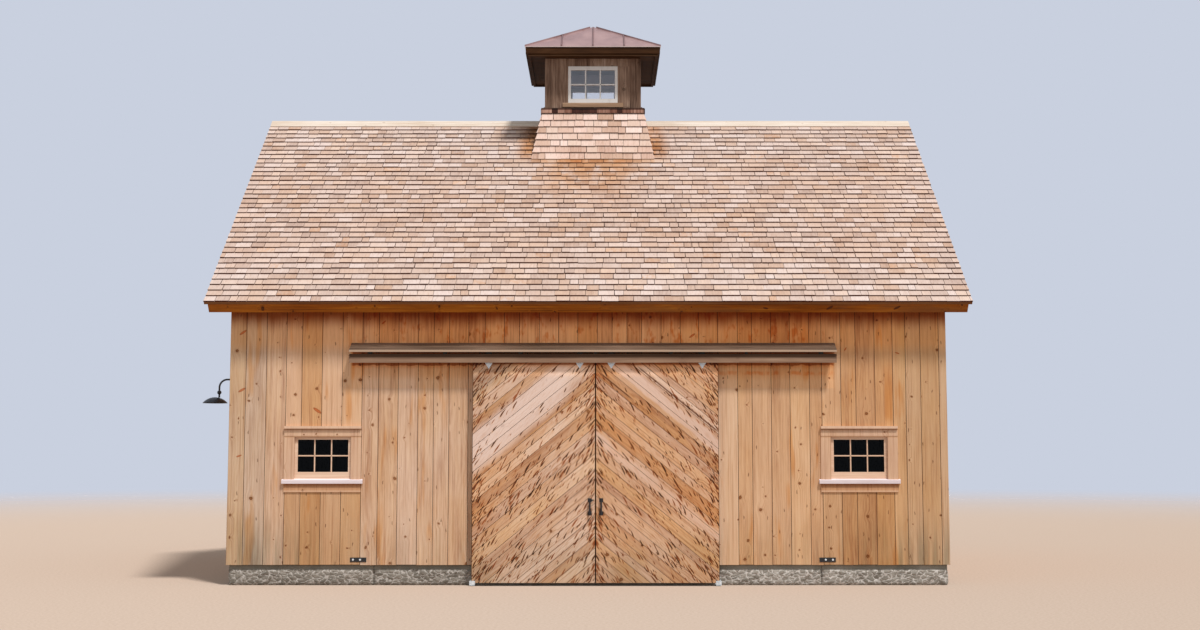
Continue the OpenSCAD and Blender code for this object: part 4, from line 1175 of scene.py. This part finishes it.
granite = granite_material()
first_cut, last_cut = FRONT_CUTS
front_spans = [
    (-STONE_X, first_cut - SEAM), (first_cut + SEAM, DOOR_LEFT),
    (DOOR_RIGHT, last_cut - SEAM), (last_cut + SEAM, STONE_X),
]
end_runs = []
for side in (-1, 1):
    x0, x1 = sorted((side * STONE_X, side * (STONE_X - STONE_T)))
    end_runs += [((x0, y0), (x1, y1), [(0, side)]) for y0, y1 in between(END_CUTS)]
stone_base("front_stones", "foundation_front", long_runs(front_spans, -STONE_Y, STONE_T - STONE_Y, -1), 61)
stone_base("back_stones", "foundation_back", long_runs(between(BACK_CUTS), STONE_Y - STONE_T, STONE_Y, 1), 62)
stone_base("end_stones", "foundation_ends", end_runs, 63)


# Finishes of the CAD nodes
def dress(material, names):
    for name in names.split():
        data = cad[name].data
        data.materials.clear()
        data.materials.append(material)


CORE_SKIN = 0.002
# Parts of a window's casing: heights of the cap, of cap and head board, and of the apron
CAP_H = 0.033
HEAD_H = 0.128
APRON_H = 0.107


def wall_core(colour, place):
    """Plain boards inside the wall, and painted shade on the outer faces, which show only through the gaps
    between the outer boards
    """
    x, y, _ = place.split()
    outer = abs(x).above(HALF_W - CORE_SKIN).math("MAXIMUM", abs(y).above(HALF_D - CORE_SKIN))
    return colour.to(outer, rgb(52, 32, 20))


def shade_under_shingles(colour, place):
    """Painted shade: dark where shingles lie on the slab and show through their gaps, and darker along the
    eaves
    """
    _, across, upwards = place.shader.normal().split()
    eave = (across * place.split()[1].math("SIGN")).above(0.5)
    return colour.tint(eave, (0.5, 0.38, 0.28)).to(upwards.above(0.1), rgb(58, 34, 24))


def trim_wear(colour, place):
    """Greyer, browner right half of the front eave board, and its knots"""
    x, y, _ = place.split()
    worn = place.noise((0.9, 0.9, 6.0), 4.0, 0.65)
    worn = worn.span(0.42, 0.62) * x.span(-0.5, 1.0, 0.25, 1.0)
    colour = colour.to(worn * 0.5, rgb(120, 78, 46))
    return spike_knots(colour, place, y.below(0.0), EAVE_KNOTS, rgb(72, 34, 16))


def casing_light_and_shade(colour, place):
    """Painted highlight on the cap, painted shade under it and under the head board, a dark joint at the head
    board, the apron darker and browner, partly its own colour and partly painted shade of the sill and
    darkest at its top, and a painted highlight on its lower lip
    """
    low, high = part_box("window_casings")
    z = place.split()[2]
    cap_z = high.z - CAP_H
    head_z = high.z - HEAD_H
    apron_z = low.z + APRON_H
    cap = z.above(cap_z + 0.001)
    apron = z.below(apron_z + 0.001)
    colour = colour.to(cap * 0.6, rgb(232, 198, 172)).tints(
        (z.span(cap_z - 0.03, cap_z - 0.008) * (1.0 - cap), (0.6, 0.46, 0.36), 0.8),
        (z.near(head_z, 0.0025, 0.002), (0.4, 0.28, 0.2), 0.8),
        (z.span(head_z - 0.03, head_z - 0.003) * z.below(head_z), (0.8, 0.68, 0.56), 0.8),
        (apron, (0.86, 0.72, 0.58)),
        (apron * z.span(low.z + 0.03, apron_z), (0.5, 0.34, 0.22), 0.85),
    )
    return colour.to(z.span(low.z + 0.026, low.z + 0.018) * 0.45, rgb(232, 198, 168))


def pale_inside_painted_light(colour, place):
    """Grey-white inner faces of the cupola, painted light for the daylight inside it"""
    x, y, _ = place.split()
    inner = abs(x - CUPOLA_X).math("MAXIMUM", abs(y)).below(CUPOLA_HALF - 0.03)
    return colour.to(inner * 0.85, rgb(240, 234, 238))


def cornice_edge(colour, place):
    """Paler lower edge of the cornice's upright faces"""
    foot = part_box("cupola_cornice")[0].z
    upright_face = place.shader.normal().split()[2].above(-0.3)
    edge = place.split()[2].span(foot + 0.016, foot + 0.009)
    return colour.to(edge * upright_face * 0.55, rgb(126, 98, 72))


def hood_light_and_shade(colour, place):
    """Painted shade darker towards the front, evening out the light across the sloping top, and a painted
    highlight on the front edge, where its end grain catches the sun
    """
    low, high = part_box("track_hood")
    y = place.split()[1]
    colour = colour.tint(y.span(high.y - 0.02, low.y + 0.02), (0.5, 0.5, 0.5))
    return colour.to(y.below(low.y + 0.004) * 0.7, rgb(206, 178, 154))


def valance_shade(colour, place):
    """Painted shade: darker upper half, where the hood's overhang shades it"""
    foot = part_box("hood_valance")[0].z
    return colour.tint(place.split()[2].span(foot + 0.035, foot + 0.08), (0.24, 0.19, 0.15), 0.95)


TIMBER = palette((126, 86, 52), (170, 126, 84), (190, 146, 102), (208, 168, 126))
# Woods: name, grain axis, palette, nodes, other looks
for name, axis, colours, nodes, looks in (
    (
        "wall_core", "z", palette((120, 78, 50), (168, 122, 86), (190, 144, 106), (208, 168, 132)),
        "front_wall_left front_wall_right front_wall_over_door back_wall left_gable_wall right_gable_wall",
        {"extra": wall_core, "board_pitch": 0.22},
    ),
    ("frame_timber_z", "z", TIMBER, "posts left_door_frame right_door_frame", {}),
    ("frame_timber_x", "x", TIMBER, "wall_plates door_lintel ridge_beam", {}),
    ("frame_timber_y", "y", TIMBER, "tie_beams rafters", {}),
    (
        "roof_slab", "x", palette((126, 86, 56), (166, 122, 84), (186, 144, 104), (206, 168, 130)),
        "roof_front roof_back cupola_skirt", {"extra": shade_under_shingles},
    ),
    (
        "oiled_trim", "x", palette((90, 42, 3), (148, 80, 10), (174, 102, 20), (204, 138, 50)),
        "eave_boards rake_boards", {"extra": trim_wear, "lines": 0.6},
    ),
    # Painted shade: the band's dark core, seen only between its blocks
    (
        "band_core", "x", palette((30, 18, 12), (48, 30, 22), (64, 42, 30), (90, 62, 46)),
        "cupola_band", {"knots": 0.0},
    ),
    (
        "ridge_board_wood", "x", palette((176, 152, 130), (206, 188, 170), (222, 210, 198), (232, 226, 220)),
        "ridge_boards", {"knots": 0.3},
    ),
    (
        "casing_wood", "z", palette((174, 128, 100), (210, 170, 142), (222, 186, 158), (232, 202, 176)),
        "window_casings", {"gold": SIDING_GOLD, "gold_share": 0.12, "extra": casing_light_and_shade},
    ),
    (
        "sill_wood", "x", palette((206, 188, 188), (228, 214, 218), (238, 226, 232), (246, 238, 244)),
        "window_sills", {"knots": 0.0},
    ),
    ("cupola_wall_core", "z", CUPOLA, "cupola_walls", {"knots": 0.3, "extra": pale_inside_painted_light}),
    (
        "cupola_sill_wood", "x", palette((104, 78, 58), (146, 116, 92), (168, 138, 112), (196, 168, 142)),
        "cupola_sills", {"knots": 0.0},
    ),
    (
        "cornice_wood", "x", palette((22, 11, 5), (44, 26, 14), (66, 41, 22), (104, 74, 48)),
        "cupola_cornice", {"knots": 0.2, "gloss": 0.08, "extra": cornice_edge},
    ),
    (
        "hood_wood", "x", palette((72, 54, 42), (114, 90, 72), (144, 116, 96), (184, 156, 134)),
        "track_hood", {"knots": 0.4, "extra": hood_light_and_shade},
    ),
    (
        "valance_wood", "x", palette((96, 70, 54), (138, 108, 88), (160, 130, 108), (188, 160, 138)),
        "hood_valance", {"knots": 0.4, "extra": valance_shade},
    ),
    # Painted shade: the leaves' dark core, where the gaps between their planks show it
    (
        "leaf_core", "z", palette((38, 22, 14), (56, 34, 22), (72, 46, 30), (96, 66, 46)),
        "left_door_boards right_door_boards", {"knots": 0.0},
    ),
):
    dress(wood(name, colours, axis=axis, **looks), nodes)
dress(sash_wood, "window_sashes")
dress(white_paint, "cupola_window_frames")


def concrete_material():
    shader, place = surface("trowelled_slab")
    cloud = place.noise(1.4, 5.0, 0.6)
    grit = place.noise(90.0, 3.0, 0.7)
    greys = palette((142, 134, 124), (172, 165, 154), (192, 186, 176))
    colour = (grit * 0.3 + cloud * 0.7).ramp((0.3, 0.55, 0.75), greys)
    return shader.finish(colour, 0.85, grit.bump(0.001, 0.5))


COPPER_SEAM_PITCH = 0.461


def copper_material():
    """Dull copper with darker standing seams, a painted highlight along its lower edge, and a pale lining
    seen through the windows, painted light for the daylight inside the cupola
    """
    shader, place = surface("dull_copper")
    x, y, z = place.split()
    across = abs(x - CUPOLA_X).math("MINIMUM", abs(y))
    cloud = place.noise((2.6, 2.6, 1.6), 5.0, 0.62, 0.5)
    fine = place.noise(34.0, 3.0, 0.6)
    browns = palette((138, 104, 102), (162, 130, 128), (174, 144, 142), (188, 160, 157))
    colour = (fine * 0.25 + cloud * 0.8).ramp((0.28, 0.5, 0.68, 0.85), browns)
    first, second = (across.near(at, 0.01, 0.008) for at in (0.0, COPPER_SEAM_PITCH))
    colour = colour.tint(first.math("MAXIMUM", second), (0.5, 0.42, 0.42), 0.8)
    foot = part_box("cupola_roof")[0].z
    # Painted highlight along the roof's lower drip edge
    colour = colour.to(z.span(foot + 0.014, foot + 0.008) * 0.7, rgb(220, 204, 198))
    # Painted light: a pale lining on the downward faces, seen through the windows
    colour = colour.to(shader.normal().split()[2].span(-0.2, -0.4), rgb(236, 230, 234))
    return shader.finish(colour, cloud.span(0.3, 0.7, 0.4, 0.6), cloud.bump(0.003, 0.15), Metallic=0.3)


def glass_material(name, tint, index):
    shader, place = surface(name)
    wave = place.noise((4, 4, 4))
    dust = place.noise(25.0, 4.0, 0.7)
    return shader.finish(
        tint, dust.span(0.4, 0.8, 0.02, 0.09), wave.bump(0.001, 0.05),
        **{"Transmission Weight": 1.0, "IOR": index},
    )


def zinc_material():
    """Spangled steel, with painted shade where the hood's front board hides it: dark, dull and without
    reflections
    """
    shader, place = surface("galvanised_steel")
    spangle = place.cells(75.0, "Color", dimensions="3D").split()[0]
    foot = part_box("hood_valance")[0].z
    shade_behind_valance = place.split()[2].span(foot + 0.02, foot + 0.06)
    colour = spangle.span(0.0, 1.0).mix(rgb(212, 222, 228), rgb(240, 245, 248))
    return shader.finish(
        colour.tint(shade_behind_valance, (0.1, 0.08, 0.07)), spangle.span(0.0, 1.0, 0.4, 0.6), spangle.bump(0.0004, 0.4),
        **{
            "Metallic": shade_behind_valance.span(0.0, 1.0, 0.35, 0.0),
            "Specular IOR Level": shade_behind_valance.span(0.0, 1.0, 0.5, 0.05),
        },
    )


def iron_material():
    shader, place = surface("black_enamel")
    hammered = place.noise(60.0, 3.0, 0.6)
    wear = place.noise(8.0, 5.0, 0.7)
    colour = wear.span(0.62, 0.8, 0.0, 0.5).mix(rgb(34, 34, 36), rgb(72, 66, 62))
    return shader.finish(colour, hammered.span(0.3, 0.7, 0.32, 0.5), hammered.bump(0.0008, 0.4))


zinc = zinc_material()
dress(zinc, "hood_brackets door_rail floor_guides left_door_hangers right_door_hangers")
dress(iron_material(), "wall_bars lamp_arm lamp_shade left_door_handle right_door_handle")
dress(concrete_material(), "floor_slab")
dress(copper_material(), "cupola_roof")
# The wall windows' dark glass is painted shade, for the dark inside of the barn
dress(glass_material("window_pane_painted_shade", rgb(64, 68, 64), 1.18), "window_glass")
dress(glass_material("cupola_pane", rgb(252, 252, 254), 1.8), "cupola_glass")

# Bolts through the black bars at the wall's foot, by their place along a bar
BAR_LENGTH = 0.205
BOLT_SHARES = (0.18, 0.62)
BOLT_R = 0.013
BOLT_SIDES = 12


def bar_bolts():
    made = Mesh(71)
    low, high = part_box("wall_bars")
    plane = (Vector((0, low.y, 0)), X, Z, -Y)
    for end, inwards in ((low.x, 1), (high.x, -1)):
        for share in BOLT_SHARES:
            x = end + inwards * share * BAR_LENGTH
            made.slab(plane, circle(x, (low.z + high.z) / 2, BOLT_R, BOLT_SIDES), 0.006, 0.002)
    made.make("bar_bolts", zinc)


bar_bolts()


# Floor, sky, light and camera
FLOOR_R = 90.0
FLOOR_SIDES = 96
SUN_STRENGTH = 3.0
SUN_DEGREES = 7
SUN_COLOUR = (1.0, 0.965, 0.92)
SUN_COURSE = (-0.7, 1.0, -2.2)
SENSOR_W = 36.0
LENS = 45.75
FARTHEST_SEEN = 400
CAMERA_PLACE = (0.150, -22.90, 1.619)
CAMERA_LIFT_DEGREES = 5.30


def make_floor():
    """Pale ground that fades out far from the barn"""
    data = bpy.data.meshes.new("ground_floor")
    ring = [(x, y, 0) for x, y in circle(0, 0, FLOOR_R, FLOOR_SIDES)]
    data.from_pydata(ring, [], [list(range(FLOOR_SIDES))])
    shader, place = surface("pale_floor")
    grain = place.noise(30.0, 3.0, 0.7)
    colour = grain.span(0.3, 0.7).mix(rgb(182, 163, 148), rgb(194, 176, 162))
    diffuse = shader.node("ShaderNodeBsdfDiffuse", {"Color": colour, "Roughness": 0.5})
    clear = shader.node("ShaderNodeBsdfTransparent", {})
    far = place.vector("LENGTH", output="Value").span(16.0, 60.0)
    blend = shader.node("ShaderNodeMixShader", {0: far, 1: diffuse.outputs[0], 2: clear.outputs[0]})
    shader.node("ShaderNodeOutputMaterial", {"Surface": blend.outputs[0]})
    data.materials.append(shader.data)
    floor = add_object("ground_floor", data)


def make_world():
    """A sky that is brighter where it is seen or mirrored than where it lights"""
    shader = Shader("soft_sky", "worlds")
    path = shader.node("ShaderNodeLightPath", {}).outputs
    light = shader.node("ShaderNodeBackground", {"Color": (0.94, 0.97, 1.0, 1), "Strength": 0.56})
    seen = shader.node("ShaderNodeBackground", {"Color": rgb(201, 208, 223), "Strength": 1.0})
    sight = shader.math("MAXIMUM", path["Is Camera Ray"], path["Is Transmission Ray"])
    sight = sight.math("MAXIMUM", path["Is Glossy Ray"])
    both = shader.node("ShaderNodeMixShader", {0: sight, 1: light.outputs[0], 2: seen.outputs[0]})
    shader.node("ShaderNodeOutputWorld", {"Surface": both.outputs[0]})
    bpy.context.scene.world = shader.data


def make_sun():
    data = bpy.data.lights.new("sun", "SUN")
    data.energy = SUN_STRENGTH
    data.angle = math.radians(SUN_DEGREES)
    data.color = SUN_COLOUR
    sun = add_object("sun", data)
    sun.rotation_euler = Vector(SUN_COURSE).to_track_quat("-Z", "Y").to_euler()


def make_camera():
    data = bpy.data.cameras.new("camera")
    data.sensor_width = SENSOR_W
    data.sensor_fit = "HORIZONTAL"
    data.lens = LENS
    data.clip_end = FARTHEST_SEEN
    camera = add_object("camera", data)
    camera.location = CAMERA_PLACE
    camera.rotation_euler = (math.radians(90 + CAMERA_LIFT_DEGREES), 0, 0)
    bpy.context.scene.camera = camera


make_floor()
make_world()
make_sun()
make_camera()
bpy.context.scene.view_settings.view_transform = "Standard"
